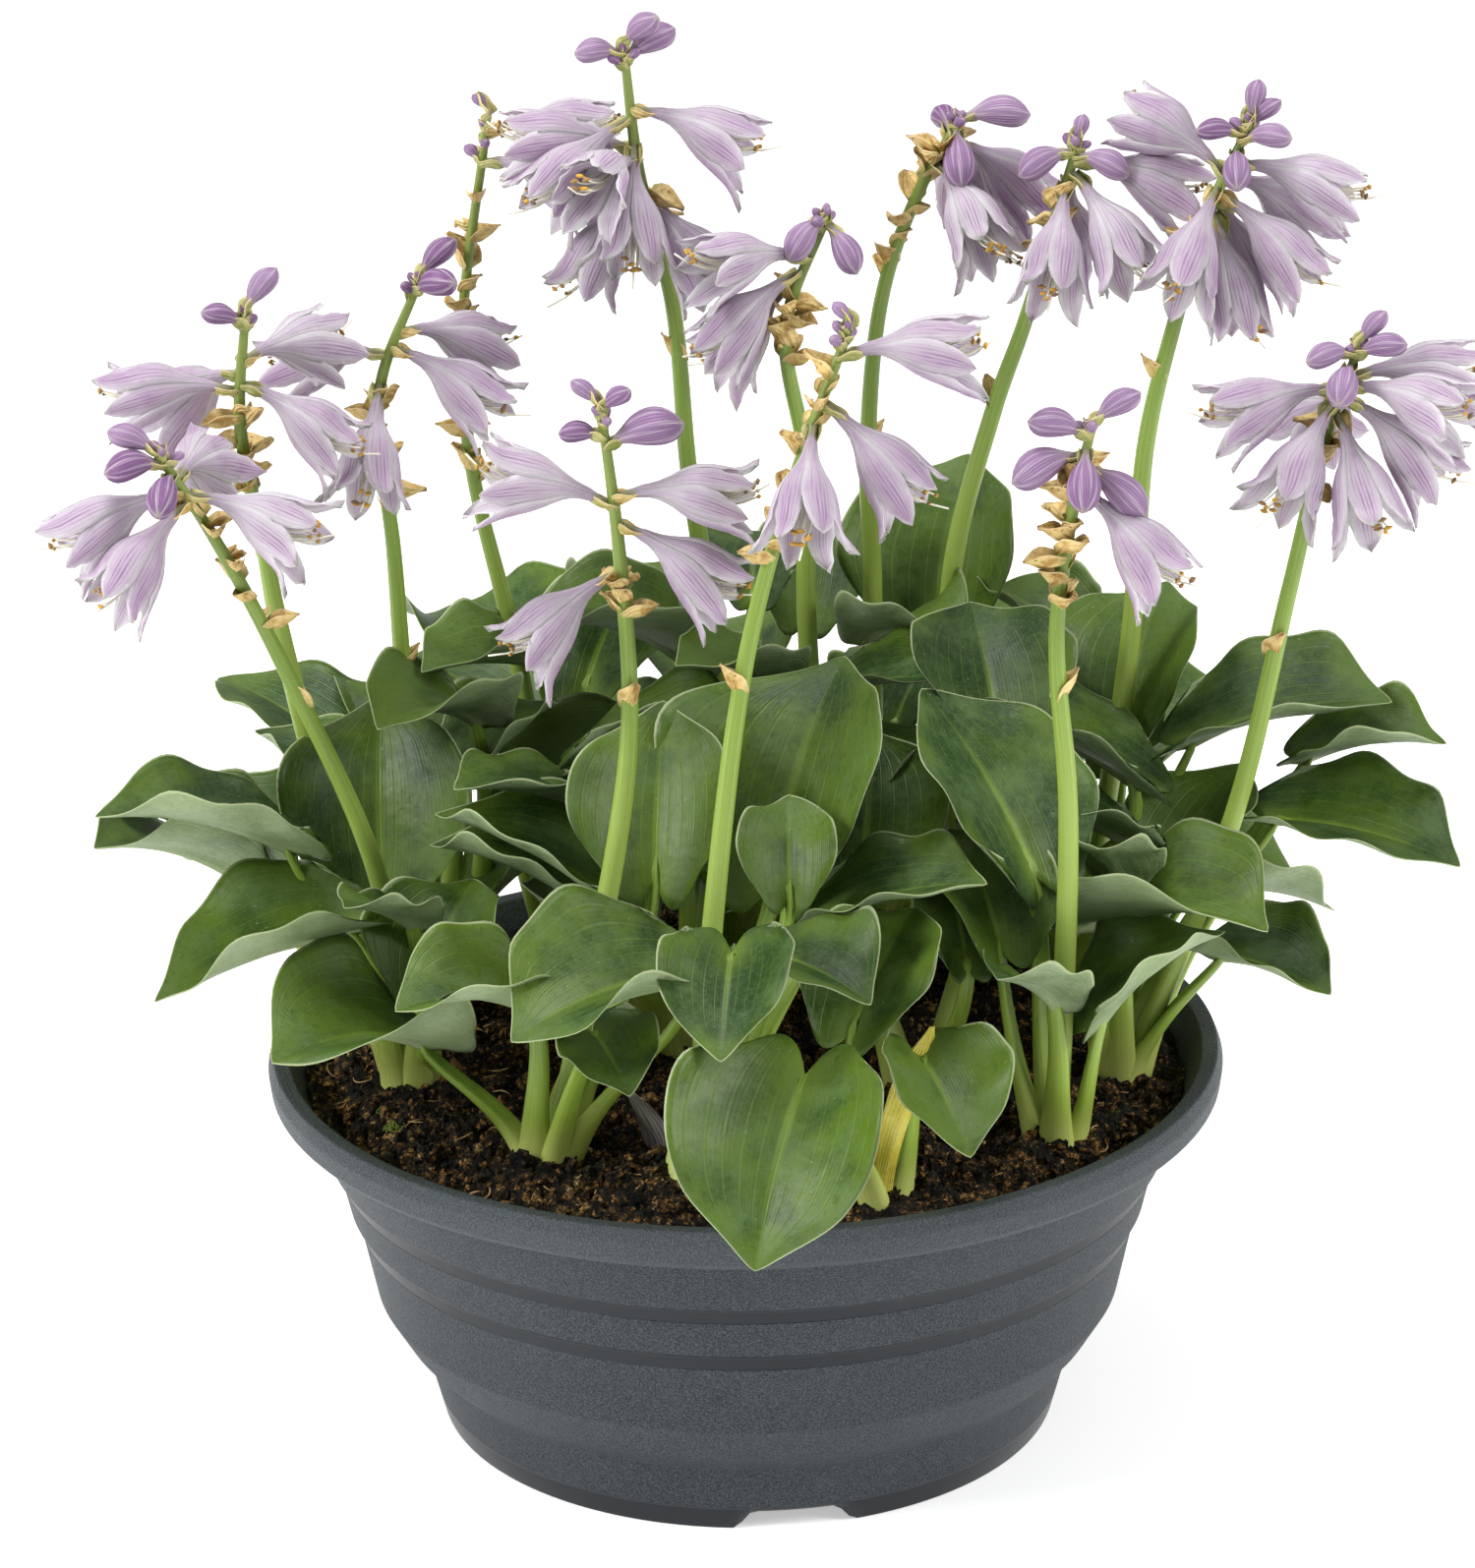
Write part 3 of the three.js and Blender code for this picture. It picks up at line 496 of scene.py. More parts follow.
def leaf_of(shoot, row, index, nudge, stance):
    """A leaf's place and form from its row of the table, as its solid has them."""
    azimuth, reach, rise, facing, pitch, length, *roll = row
    droop = between(DROOPS, index, 1)
    forward = pitched(facing + nudge[1], pitch + nudge[0] + droop / 2)
    lean = (roll[0] if roll else 0) + 16 * (share(index, 2) - 0.5)
    side = turned_about(heading(facing + nudge[1] + 90), forward, lean)
    crown = np.array([*shoot["crown"], SOIL_LEVEL], float)
    return SimpleNamespace(
        index=index, azimuth=azimuth, length=length, crown=crown, forward=forward, side=side, broad=BROADER,
        joint=crown + heading(azimuth) * reach + UP * (rise + nudge[2]),
        stance=stance,
        normal=np.cross(forward, side),
        width=length * (0.78 + 0.12 * share(index, 6)),
        droop=math.radians(droop),
        cup=0.22 + 0.3 * share(index, 3),
        wave=2.6 * (share(index, 4) - 0.3),
        phase=2 * math.pi * share(index, 5),
    )


def half_width(leaf, u):
    """Half the blade's width at share u of its length: rounded at its foot, pointed at its tip."""
    past = (u - WIDEST) / (1 - WIDEST)
    before = (WIDEST - u) / WIDEST
    tapering = np.clip(1 - past * past, 0, 1) ** 0.8
    return leaf.width / 2 * np.where(u > WIDEST, tapering, 1 - 0.38 * before * before)


def blade_points(leaf, u, s, lift):
    """Points at share u along the midrib and s across it, lifted off the blade's surface."""
    turn = leaf.droop * u
    radius = leaf.length / leaf.droop
    cos, sin = np.cos(turn)[..., None], np.sin(turn)[..., None]
    forward = leaf.forward * cos - leaf.normal * sin
    normal = leaf.normal * cos + leaf.forward * sin
    across = half_width(leaf, u) * s
    lobe = LOBE * leaf.length * (1 - u) ** 3 * np.sin(np.pi * np.abs(s) ** 0.9)
    cupped = 2 * leaf.cup * across * across / leaf.width + 0.1 * np.abs(across)
    waved = leaf.wave * s * s * np.sin(9 * u + leaf.phase + s) * np.minimum(1, 4 * (1 - u))
    curled = 3 * (1 - u) ** 4 * s * s
    height = cupped + waved + curled + lift
    midrib = leaf.joint + radius * (leaf.forward * sin + leaf.normal * (cos - 1))
    return midrib - forward * lobe[..., None] + leaf.side * across[..., None] + normal * height[..., None]


def grown_leaves():
    """Every leaf of the solids, in the table's order, nudged as its solid was."""
    leaves = []
    for number, shoot in enumerate(SHOOTS):
        corners = corners_of(f"shoot_{number + 1:02d}")
        for row in shoot["leaves"]:
            index, stance = len(leaves), stance_of(shoot, row)
            nudge = best_nudge(
                LEAF_NUDGES,
                lambda trial: marks_of_leaf(leaf_of(shoot, row, index, trial, stance)),
                corners,
            )
            leaf = leaf_of(shoot, row, index, nudge, stance)
            leaf.shoot = number
            leaves.append(leaf)
    return leaves


def reach_of_leaf(leaf):
    """Points spread over a leaf's blade and along its stalk."""
    u, s = np.meshgrid(np.linspace(0.02, 0.98, 10), np.linspace(-1, 1, 9), indexing="ij")
    blade = blade_points(leaf, u, s * leaf.broad, 0 * u).reshape(-1, 3)
    return blade, petiole_points(leaf, 16)[0]


YOUNG_PER_SHOOT = 3
YOUNG_ATTEMPTS = 300
YOUNG_REACHES = (14, 44)
YOUNG_RISES = (34, 94)
YOUNG_PITCHES = (5, 65)
YOUNG_LENGTHS = (38, 58)
YOUNG_CLEARANCE = 4
STALK_CLEARANCE = 3
FRONT_LIMIT = -60


def is_clear(points, others, gap):
    """Whether every point keeps a gap from all the others."""
    return np.linalg.norm(points[:, None] - others[None], axis=-1).min(initial=1000) > gap


def young_leaves(leaves):
    """Smaller leaves that grow inside the clump, wherever a place is clear of all that is there."""
    taken = [part for leaf in leaves for part in reach_of_leaf(leaf)]
    taken += [scape_points(shoot, np.linspace(0, 1, 60)) for shoot in SHOOTS if "scape" in shoot]
    taken = np.concatenate(taken)
    young = []
    for number, shoot in enumerate(SHOOTS):
        wanted = YOUNG_PER_SHOOT if shoot["crown"][1] > FRONT_LIMIT else 0
        for attempt in range(YOUNG_ATTEMPTS):
            if wanted == 0:
                break
            seed = YOUNG_ATTEMPTS * number + attempt
            azimuth = GOLDEN_ANGLE * attempt + 40 * number
            reach = between(YOUNG_REACHES, seed, 1)
            rise = between(YOUNG_RISES, seed, 2)
            facing = azimuth + 60 * (share(seed, 3) - 0.5)
            pitch = between(YOUNG_PITCHES, seed, 4)
            length = between(YOUNG_LENGTHS, seed, 5)
            leaf = leaf_of(shoot, [azimuth, reach, rise, facing, pitch, length], seed, (0, 0, 0), azimuth)
            near = taken[np.linalg.norm(taken - leaf.joint, axis=-1) < 1.3 * length + 10]
            blade, stalk = reach_of_leaf(leaf)
            if is_clear(blade, near, YOUNG_CLEARANCE) and is_clear(stalk[7:], near, STALK_CLEARANCE):
                leaf.shoot = number
                young.append(leaf)
                taken = np.concatenate([taken, blade, stalk])
                wanted -= 1
    return young


def marks_of_leaf(leaf):
    """Points of a blade that are corners of its solid: its tip, above and below, and its sides."""
    u = np.array([1.0, 1.0, 0.66, 0.66])
    s = np.array([0.0, 0.0, 1.0, -1.0])
    return blade_points(leaf, u, s, np.array([0, -BLADE_THICKNESS, 0, 0]))


LEAF_ROWS = 30
LEAF_COLUMNS = 25
BROADER = 1.12
TIP_DRAW = 0.34
VEINS = 6
CHANNEL_DEPTH = 1.5
KEEL_DEPTH = 1.9


def add_blade(piece, leaf):
    """A thin blade with a sunk midrib, a keel below it, quilting between the veins and a waved margin."""
    ease = 1 - (1 - np.linspace(0, 0.9995, LEAF_ROWS)) ** 1.2
    u, s = np.meshgrid(ease, np.linspace(-1, 1, LEAF_COLUMNS), indexing="ij")
    pointed = 1 - TIP_DRAW * eased(u, 0.7, 0.97)
    broad = leaf.broad * pointed * (1 + 0.035 * np.sin(5 * u + leaf.phase + 2 * np.sign(s)))
    half = half_width(leaf, u) * broad
    across = half * s
    edge = np.minimum(half * (1 - np.abs(s)), leaf.length * np.minimum(u + 0.05, 1 - u))
    channel = -CHANNEL_DEPTH * np.exp(-((across / 2.6) ** 2)) * (1 - 0.85 * u)
    quilted = 0.09 * np.cos(2 * np.pi * VEINS * np.abs(s) ** 0.9) * np.sin(np.pi * u) * (1 - s * s)
    fading = np.minimum(1, 4 * (1 - u))
    ruffle = 2.0 * np.abs(s) ** 3 * np.sin(15 * u + 2.3 * leaf.phase + 2 * s) * fading
    one_side = np.where(s * (share(leaf.index, 13) - 0.5) > 0, 1.0, 0.25)
    rolled = 7 * share(leaf.index, 11) * one_side * np.abs(s) ** 4 * np.sin(5.5 * u + leaf.phase) * fading
    twist = 0.11 * (share(leaf.index, 12) - 0.5) * 2 * across * u
    lift = channel + quilted + ruffle - rolled + twist
    keel = KEEL_DEPTH * np.exp(-((across / 1.7) ** 2)) * (1 - u) ** 1.3
    thickness = 0.25 + 0.5 * (1 - np.exp(-edge / 1.5)) + keel
    upper = blade_points(leaf, u, s * broad, lift)
    lower = blade_points(leaf, u, s * broad, lift - thickness)
    corners, faces, kinds = shell(upper, lower)
    places = np.stack([s, u, edge], -1).reshape(-1, 3)
    piece.add(corners, faces, np.concatenate([places, places]), share(leaf.index, 8), kinds)


GATHERED = 0.62


def petiole_points(leaf, count):
    """Points along a stalk's middle, from its crown to the blade, with their shares of its length."""
    start = leaf.crown + heading(leaf.stance) * STALK_CIRCLE * GATHERED - UP * 7
    end = leaf.joint + leaf.forward * 3 - leaf.normal * 0.6 * BLADE_THICKNESS
    span = np.linalg.norm(end - start)
    arrival = unit(leaf.forward * 0.75 + UP)
    rising = start + UP * 0.45 * span + heading(leaf.azimuth) * 0.12 * span
    before = end - arrival * 0.3 * span
    t = np.linspace(0, 1, count)[:, None]
    leaving = (1 - t) ** 3 * start + 3 * (1 - t) ** 2 * t * rising
    arriving = 3 * (1 - t) * t * t * before + t**3 * end
    return leaving + arriving, t


STALK_ROWS = 20
STALK_SIDES = 14
STALK_TOP = 2.4

# How the stalk runs on inside the midrib: share of the blade, depth, and share of the stalk
MIDRIB_ENTRY = [(0.09, 1.2, 1.04), (0.16, 1.9, 1.08), (0.24, 2.5, 1.12)]


def add_stalk(piece, leaf):
    """A channelled stalk that widens into a sheath at its foot and sinks into the midrib at its top."""
    points, t = petiole_points(leaf, STALK_ROWS)
    u, sunk, beyond = np.array(MIDRIB_ENTRY).T
    points = np.concatenate([points, blade_points(leaf, u, 0 * u, -sunk)])
    t = np.concatenate([t, beyond[:, None]])
    across, over = tube_frame(points, heading(leaf.azimuth + 90))
    thin = 1 - 0.5 * eased(t, 0.93, 1) - 0.36 * eased(t, 1, 1.12)
    left = np.clip(1 - t, 0, 1)
    radius = (STALK_TOP + 2.0 * left**1.2 + 2.1 * left**5) * thin
    cos, sin = ring(STALK_SIDES)
    inner = np.clip(-cos, 0, 1)[None, :]
    groove = 1 - 0.7 * inner**3 * eased(t, 0.12, 0.35)
    wide = radius * groove * 0.85
    deep = radius * np.ones_like(groove) * 1.2
    corners, faces = tube(points, across, over, wide, deep)
    places = np.stack(np.broadcast_arrays(sin[None, :], t, inner), -1).reshape(-1, 3)
    piece.add(corners, faces, places, share(leaf.index, 9))


# Flower stems
def scape_points(shoot, t):
    """Points at shares t of a centripetal curve through the stem's route."""
    route = np.array([[*shoot["crown"], SOIL_LEVEL - 8], *shoot["scape"]], float)
    last = len(route) - 1
    ends = [2 * route[0] - route[1], *route, 2 * route[-1] - route[-2]]
    points = []
    for place in np.atleast_1d(t) * last:
        k = min(int(place), last - 1)
        p0, p1, p2, p3 = ends[k : k + 4]
        gaps = [np.linalg.norm(b - a) ** 0.5 for a, b in ((p0, p1), (p1, p2), (p2, p3))]
        leave = (p1 - p0) / gaps[0] - (p2 - p0) / (gaps[0] + gaps[1]) + (p2 - p1) / gaps[1]
        arrive = (p2 - p1) / gaps[1] - (p3 - p1) / (gaps[1] + gaps[2]) + (p3 - p2) / gaps[2]
        leave, arrive = leave * gaps[1], arrive * gaps[1]
        w = place - k
        rise = 3 * (p2 - p1) - 2 * leave - arrive
        fall = 2 * (p1 - p2) + leave + arrive
        points.append(p1 + w * (leave + w * (rise + w * fall)))
    return np.array(points)


def scape_radius(t, head):
    """The stem's radius at shares of its length, below and within the flowering head."""
    lower = SCAPE_BASE + (SCAPE_TOP - SCAPE_BASE) * (t / head)
    upper = SCAPE_TOP + (RACHIS_TIP - SCAPE_TOP) * ((t - head) / (1 - head))
    return np.where(t < head, lower, upper)


def point_on_head(shoot, along):
    """The point at a share along the flowering head."""
    return scape_points(shoot, shoot["head"] + (1 - shoot["head"]) * along)[0]


SCAPE_ROWS = 70
SCAPE_SIDES = 14


def add_scape(piece, shoot, number):
    """A flower stem with three faint ribs and a rounded tip."""
    t = np.linspace(0, 1, SCAPE_ROWS)
    points = scape_points(shoot, t)
    across, over = tube_frame(points, NORTH)
    cos, sin = ring(SCAPE_SIDES)
    ribs = 1 + 0.03 * np.cos(3 * np.arange(SCAPE_SIDES) * 2 * np.pi / SCAPE_SIDES)
    radius = scape_radius(t, shoot["head"])[:, None] * ribs
    round_tip = np.sqrt(np.clip(1 - eased(t, 0.985, 1.0) ** 2, 0.05, 1))[:, None]
    corners, faces = tube(points, across, over, radius * round_tip)
    places = np.stack(np.broadcast_arrays(sin[None, :], t[:, None], cos[None, :]), -1).reshape(-1, 3)
    piece.add(corners, faces, places, share(number, 3))


# Flowers
def growth_frame(azimuth, pitch):
    """The direction that a flower grows in, and two directions across it."""
    direction = pitched(azimuth, pitch)
    across = unit(np.cross(UP, direction))
    return direction, across, np.cross(direction, across)


def ring_at(origin, azimuth, pitch, along, radius, sides, turn=0.0):
    """Points of a circle around a flower's axis."""
    direction, across, over = growth_frame(azimuth, pitch)
    cos, sin = ring(sides, turn)
    return origin + direction * along + radius * (cos[:, None] * across + sin[:, None] * over)


def marks_of_bloom(origin, azimuth, pitch, _length):
    """Points of a bell that are corners of its solid. A bell's length is always the same."""
    tips = ring_at(origin, azimuth, pitch, BLOOM_LENGTH, BLOOM_WIDTH / 2, 6)
    dips = ring_at(origin, azimuth, pitch, BLOOM_LENGTH * 0.8, BLOOM_WIDTH * 0.38, 6, 0.5)
    return np.concatenate([tips, dips])


def marks_of_bud(origin, azimuth, pitch, length):
    """Points of a bud that are corners of its solid."""
    apex = ring_at(origin, azimuth, pitch, length, 0, 1)
    return np.concatenate([apex, ring_at(origin, azimuth, pitch, length * 0.62, length * 0.18, 5)])


def marks_of_bract(origin, azimuth, pitch, _length):
    """Points of a dry bract that are corners of its solid."""
    apex = ring_at(origin, azimuth, pitch, BRACT_LENGTH, 0, 1)
    return np.concatenate([apex, ring_at(origin, azimuth, pitch, BRACT_LENGTH * 0.6, 2.6, 3, 0.25)])


def placed_on_head(marks, origin, azimuth, pitch, length, corners):
    """The way that a flower points once it is nudged as its solid was."""
    turn, dip = best_nudge(
        FLOWER_NUDGES,
        lambda nudge: marks(origin, azimuth + nudge[0], pitch + nudge[1], length),
        corners,
    )
    return azimuth + turn, pitch + dip


# A bell's radius and each lobe's half angle, at distances from its stalk
BELL_PROFILE = [
    (0, 1.4), (6, 1.5), (9, 2.2), (13, 2.7), (16, 3.5), (20, 5.4), (24, 7.9), (28, 9.8), (33, 11.1),
    (38, 12.0), (43, 13.2), (48, 15.2),
]
LOBE_PROFILE = [
    (0, 30), (18, 31), (26, 33), (31, 32.5), (35, 30), (39, 26), (42, 21), (45, 13.5),
    (47.2, 5.5), (48, 0.5),
]
TEPAL_ROWS = 19
TEPAL_COLUMNS = 7
ARCH = 4.5


def arched(direction, across, along, length):
    """How far a flower's middle rises above its straight axis, so that it droops from its stalk."""
    lifting = unit(UP - direction * direction[2] + 0.001 * across)
    level = np.hypot(direction[0], direction[1])
    return (ARCH * level * np.sin(np.pi * np.clip(along / length, 0, 1) ** 0.8))[..., None] * lifting


def add_bloom(piece, origin, azimuth, pitch, seed):
    """Six tepals, joined as a tube below and free as pointed lobes above."""
    direction, across, over = growth_frame(azimuth, pitch)
    along = BLOOM_LENGTH * np.linspace(0, 1, TEPAL_ROWS) ** 0.9
    openness = 1 + 0.1 * spread(seed, 12)
    for number in range(6):
        outer = number % 2
        a, s = np.meshgrid(along, np.linspace(-1, 1, TEPAL_COLUMNS), indexing="ij")
        reach = 1 + 0.05 * spread(seed, number, 1) * eased(a, 26, 48)
        free = eased(a, 28, 42)
        flare = 1 + (openness - 1 + 0.1 * spread(seed, number, 2)) * eased(a, 22, 46) ** 1.5
        middle = 60 * number + 5 * spread(seed, number, 3) * free
        angle = np.radians(middle + profile(a, LOBE_PROFILE) * s * (1.04 if outer else 1))
        radius = profile(a, BELL_PROFILE) * flare
        valley = -0.05 * radius * s * s * eased(a, 12, 24)
        ridge = 0.3 * np.exp(-((s / 0.2) ** 2)) * eased(a, 10, 20)
        crumple = 0.6 * free * np.sin(0.8 * a + 4 * s + 5 * spread(seed, number, 4)) * np.abs(s)
        curl = 3.2 * (0.25 + spread(seed, number, 5)) * eased(a, 38, 48) ** 2 * (1 - 0.5 * s * s)
        layer = 0.4 * outer * eased(a, 12, 24)
        radius = radius + valley + ridge + crumple + curl + layer
        edge = np.minimum((1 - np.abs(s)) * radius * np.radians(profile(a, LOBE_PROFILE)), BLOOM_LENGTH - a)
        thick = 0.22 + 0.25 * (1 - np.exp(-edge / 1.5))
        arch = arched(direction, across, a, BLOOM_LENGTH)
        middle_line = origin + direction * (a * reach)[..., None] + arch
        outwards = np.cos(angle)[..., None] * across + np.sin(angle)[..., None] * over
        outside = middle_line + outwards * radius[..., None]
        inside = middle_line + outwards * (radius - thick)[..., None]
        corners, faces, kinds = shell(inside, outside)
        places = np.stack([s, a / BLOOM_LENGTH, edge], -1).reshape(-1, 3)
        piece.add(corners, faces, np.concatenate([places, places]), 0.5 + 0.5 * spread(seed, 4), kinds)


STYLE = 6
STYLE_LENGTH = 55
FILAMENT_LENGTH = 47


def add_stamens(piece, origin, azimuth, pitch, seed):
    """Six filaments and a longer style that leave the tube together and curve up at the mouth."""
    direction, across, over = growth_frame(azimuth, pitch)
    lifting = unit(UP - direction * direction[2] + 0.001 * across)
    for number in range(STYLE + 1):
        style = number == STYLE
        angle = math.radians(60 * number + 30)
        apart = 0.5 if style else 2.4 + 0.5 * spread(seed, number, 5)
        length = (STYLE_LENGTH if style else FILAMENT_LENGTH) + 2.5 * spread(seed, number, 6)
        t = np.linspace(0, 1, 9)[:, None]
        sideways = (math.cos(angle) * across + math.sin(angle) * over) * apart * eased(t, 0.1, 0.9)
        bend = (9 if style else 7) * t**3.2 - 4.5 * np.sin(np.pi * t) * 0.6
        along = 9 + (length - 9) * t[:, 0]
        points = origin + direction * along[:, None] + sideways + lifting * bend
        points = points + arched(direction, across, along, BLOOM_LENGTH)
        frame_across, frame_over = tube_frame(points, across + 0.01 * over)
        girth = 0.55 - 0.2 * t
        corners, faces = tube(points, frame_across, frame_over, girth * np.ones((1, 4)))
        places = np.stack(np.broadcast_arrays(0.0, t, np.ones((1, 4))), -1).reshape(-1, 3)
        piece.add(corners, faces, places, 0.5)
        if style:
            continue
        lying = unit(across + 0.8 * spread(seed, number, 7) * lifting)
        add_anther(piece, points[-1], lying, spread(seed, number, 8))


ANTHER_LENGTH = 3.2


def add_anther(piece, centre, direction, tone):
    """A small grain of pollen sacs across a filament's end."""
    t = np.linspace(0, 1, 5)
    points = centre + direction * (ANTHER_LENGTH * (t - 0.5))[:, None]
    across, over = tube_frame(points, unit(np.cross(direction, UP) + 0.01))
    girth = (0.25 + 0.6 * np.sin(np.pi * t))[:, None] * np.ones((1, 5))
    corners, faces = tube(points, across, over, girth)
    places = np.zeros((len(corners), 3))
    piece.add(corners, faces, places, 0.5 + 0.5 * tone, [1] * len(faces))


# A bud's radius at shares of its length, as a share of that length
BUD_PROFILE = [
    (0, 0.05), (0.12, 0.055), (0.24, 0.09), (0.38, 0.16), (0.55, 0.21), (0.7, 0.222), (0.84, 0.185),
    (0.94, 0.105), (1, 0.012),
]


def add_bud(piece, origin, azimuth, pitch, length, seed):
    """A fat club with six ribs, where its tepals lie folded over each other."""
    direction, across, over = growth_frame(azimuth, pitch)
    rows, sides = (16, 18) if length > 11 else (10, 12)
    t = np.linspace(0, 1, rows)
    arch = arched(direction, across, t * length, length) * min(1, length / 40)
    points = origin + direction * (length * t)[:, None] + arch
    around = np.arange(sides)[None, :] / sides + 0.05 * t[:, None]
    ribs = 1 + 0.07 * np.abs(np.cos(3 * 2 * np.pi * around)) * eased(t, 0.2, 0.55)[:, None]
    girth = length * profile(t, BUD_PROFILE)[:, None] * ribs * (1 + 0.08 * spread(seed, 3))
    corners, faces = tube(points, np.tile(across, (rows, 1)), np.tile(over, (rows, 1)), girth)
    places = np.stack(np.broadcast_arrays((6 * around) % 1, t[:, None], 1.0), -1).reshape(-1, 3)
    piece.add(corners, faces, places, 0.5 + 0.5 * spread(seed, 9))


def add_bract(piece, origin, azimuth, pitch, length, width, tone):
    """A boat-shaped scale, hollow above, with its tip turned up."""
    direction, _, over = growth_frame(azimuth, pitch)
    above = over if over[2] > 0 else -over
    sideways = np.cross(above, direction)
    t, s = np.meshgrid(np.linspace(0, 1, 7), np.linspace(-1, 1, 5), indexing="ij")
    half = width / 2 * np.sin(np.pi * (0.24 + 0.74 * t)) ** 0.7
    lift = half * (1.25 - 0.5 * t) * s * s + length * 0.16 * t**2 + 0.6 * np.sin(7 * t + 3 * s + 9 * tone)
    middle = origin + direction * (length * t)[..., None] + sideways * (half * s)[..., None]
    upper = middle + above * lift[..., None]
    corners, faces, _ = shell(upper, upper - above * 0.35)
    edge = half * (1 - np.abs(s))
    places = np.stack([s, t, edge], -1).reshape(-1, 3)
    piece.add(corners, faces, np.concatenate([places, places]), tone)


def add_spent_stalk(piece, origin, azimuth, pitch, length):
    """The short dry stalk that a fallen flower leaves."""
    points = origin + pitched(azimuth, pitch) * (length * np.linspace(0, 1, 4))[:, None]
    across, over = tube_frame(points, heading(azimuth + 90))
    girth = np.array([0.9, 0.8, 1.0, 0.6])[:, None] * np.ones((1, 6))
    corners, faces = tube(points, across, over, girth)
    piece.add(corners, faces, np.full((len(corners), 3), 0.5), 0.45)


SPENT_NEIGHBOURS = 2
TIP_BUDS = 5

# Lengths and widths of the bracts under a bloom, under a bud, low on the stem and at its tip
BLOOM_BRACT = (11, 7)
BUD_BRACT = (9.5, 6)
LOW_BRACT = (14, 8)
TIP_BRACT = (6.5, 4.4)


def make_head(shoot, number, finishes):
    """The flowers, buds, stamens and bracts of one flowering head."""
    node = f"raceme_{number + 1:02d}"
    corners = corners_of(node)
    flowers, buds, stamens, bracts = Piece(), Piece(), Piece(), Piece()
    for i, (along, azimuth, pitch) in enumerate(shoot["blooms"]):
        origin = point_on_head(shoot, along)
        azimuth, pitch = placed_on_head(marks_of_bloom, origin, azimuth, pitch, 0, corners)
        seed = 10 * number + i
        add_bloom(flowers, origin, azimuth, pitch, seed)
        add_stamens(stamens, origin, azimuth, pitch, seed)
        add_bract(bracts, origin - UP * 2, azimuth, pitch + 14, *BLOOM_BRACT, 0.65 + 0.3 * spread(seed, 2))
    for i, (along, azimuth, pitch, length) in enumerate(shoot["buds"]):
        origin = point_on_head(shoot, along)
        azimuth, pitch = placed_on_head(marks_of_bud, origin, azimuth, pitch, length, corners)
        seed = 10 * number + i + 0.5
        add_bud(buds, origin, azimuth, pitch, length, seed)
        add_bract(bracts, origin - UP * 1.5, azimuth, pitch + 10, *BUD_BRACT, 0.75 + 0.2 * spread(seed, 2))
    count, top = shoot["bracts"]
    for i in range(count):
        along = 0.03 + top * i / count
        origin = point_on_head(shoot, along)
        azimuth, pitch = placed_on_head(marks_of_bract, origin, GOLDEN_ANGLE * (i + number), 20, 0, corners)
        dryness = 0.2 + 0.15 * spread(number, i, 3)
        add_bract(bracts, origin, azimuth, pitch, 1.12 * BRACT_LENGTH, 8.5, dryness)
        for k in range(SPENT_NEIGHBOURS):
            near = point_on_head(shoot, along + 0.4 * top / count * (k + 0.6 + 0.3 * spread(i, k, 4)))
            turn = azimuth + 125 * (k + 1) + 30 * spread(i, k, number)
            tilt = 18 + 38 * spread(i, k, number + 5)
            size = 12 + 4 * spread(i, k, number + 6)
            add_bract(bracts, near, turn, tilt, size, 0.72 * size, dryness)
            add_spent_stalk(bracts, near + UP, turn + 12, 30, 4.5 + 1.5 * spread(i, k, 7))
    low = shoot["head"] * (0.7 + 0.12 * spread(number, 6))
    add_bract(bracts, scape_points(shoot, low)[0], 90 * number + 200, 52, *LOW_BRACT, 0.2)
    for k in range(TIP_BUDS):
        origin = point_on_head(shoot, 0.9 + 0.1 * k / TIP_BUDS)
        seed = number + 0.1 * k
        length = 8.5 - 0.9 * k + spread(seed, 3)
        turn = GOLDEN_ANGLE * k + 50 * number
        add_bud(buds, origin, turn, 38 + 9 * k, length, seed)
        add_bract(bracts, origin - UP, turn, 30 + 9 * k, *TIP_BRACT, 0.9)
    label = f"{number + 1:02d}"
    if flowers.count:
        flowers.make(f"flowers_{label}", [finishes.tepal_inside, finishes.tepal_outside], "flowers", node)
        stamens.make(f"stamens_{label}", [finishes.filament, finishes.anther], "flowers", node)
    buds.make(f"buds_{label}", [finishes.bud], "flowers", node)
    bracts.make(f"bracts_{label}", [finishes.bract], "flowers", node)


def make_shoot(shoot, number, leaves, finishes):
    """The leaves, stalks and flower stem of one shoot."""
    node = f"shoot_{number + 1:02d}"
    blades, stalks = Piece(), Piece()
    for leaf in leaves:
        if leaf.shoot == number:
            add_blade(blades, leaf)
            add_stalk(stalks, leaf)
    blades.make(f"leaves_{number + 1:02d}", [finishes.leaf_top, finishes.leaf_under], "foliage", node)
    stalks.make(f"stalks_{number + 1:02d}", [finishes.stalk], "foliage", node)
    if "scape" in shoot:
        stem = Piece()
        add_scape(stem, shoot, number)
        stem.make(f"stem_{number + 1:02d}", [finishes.scape], "foliage", node)


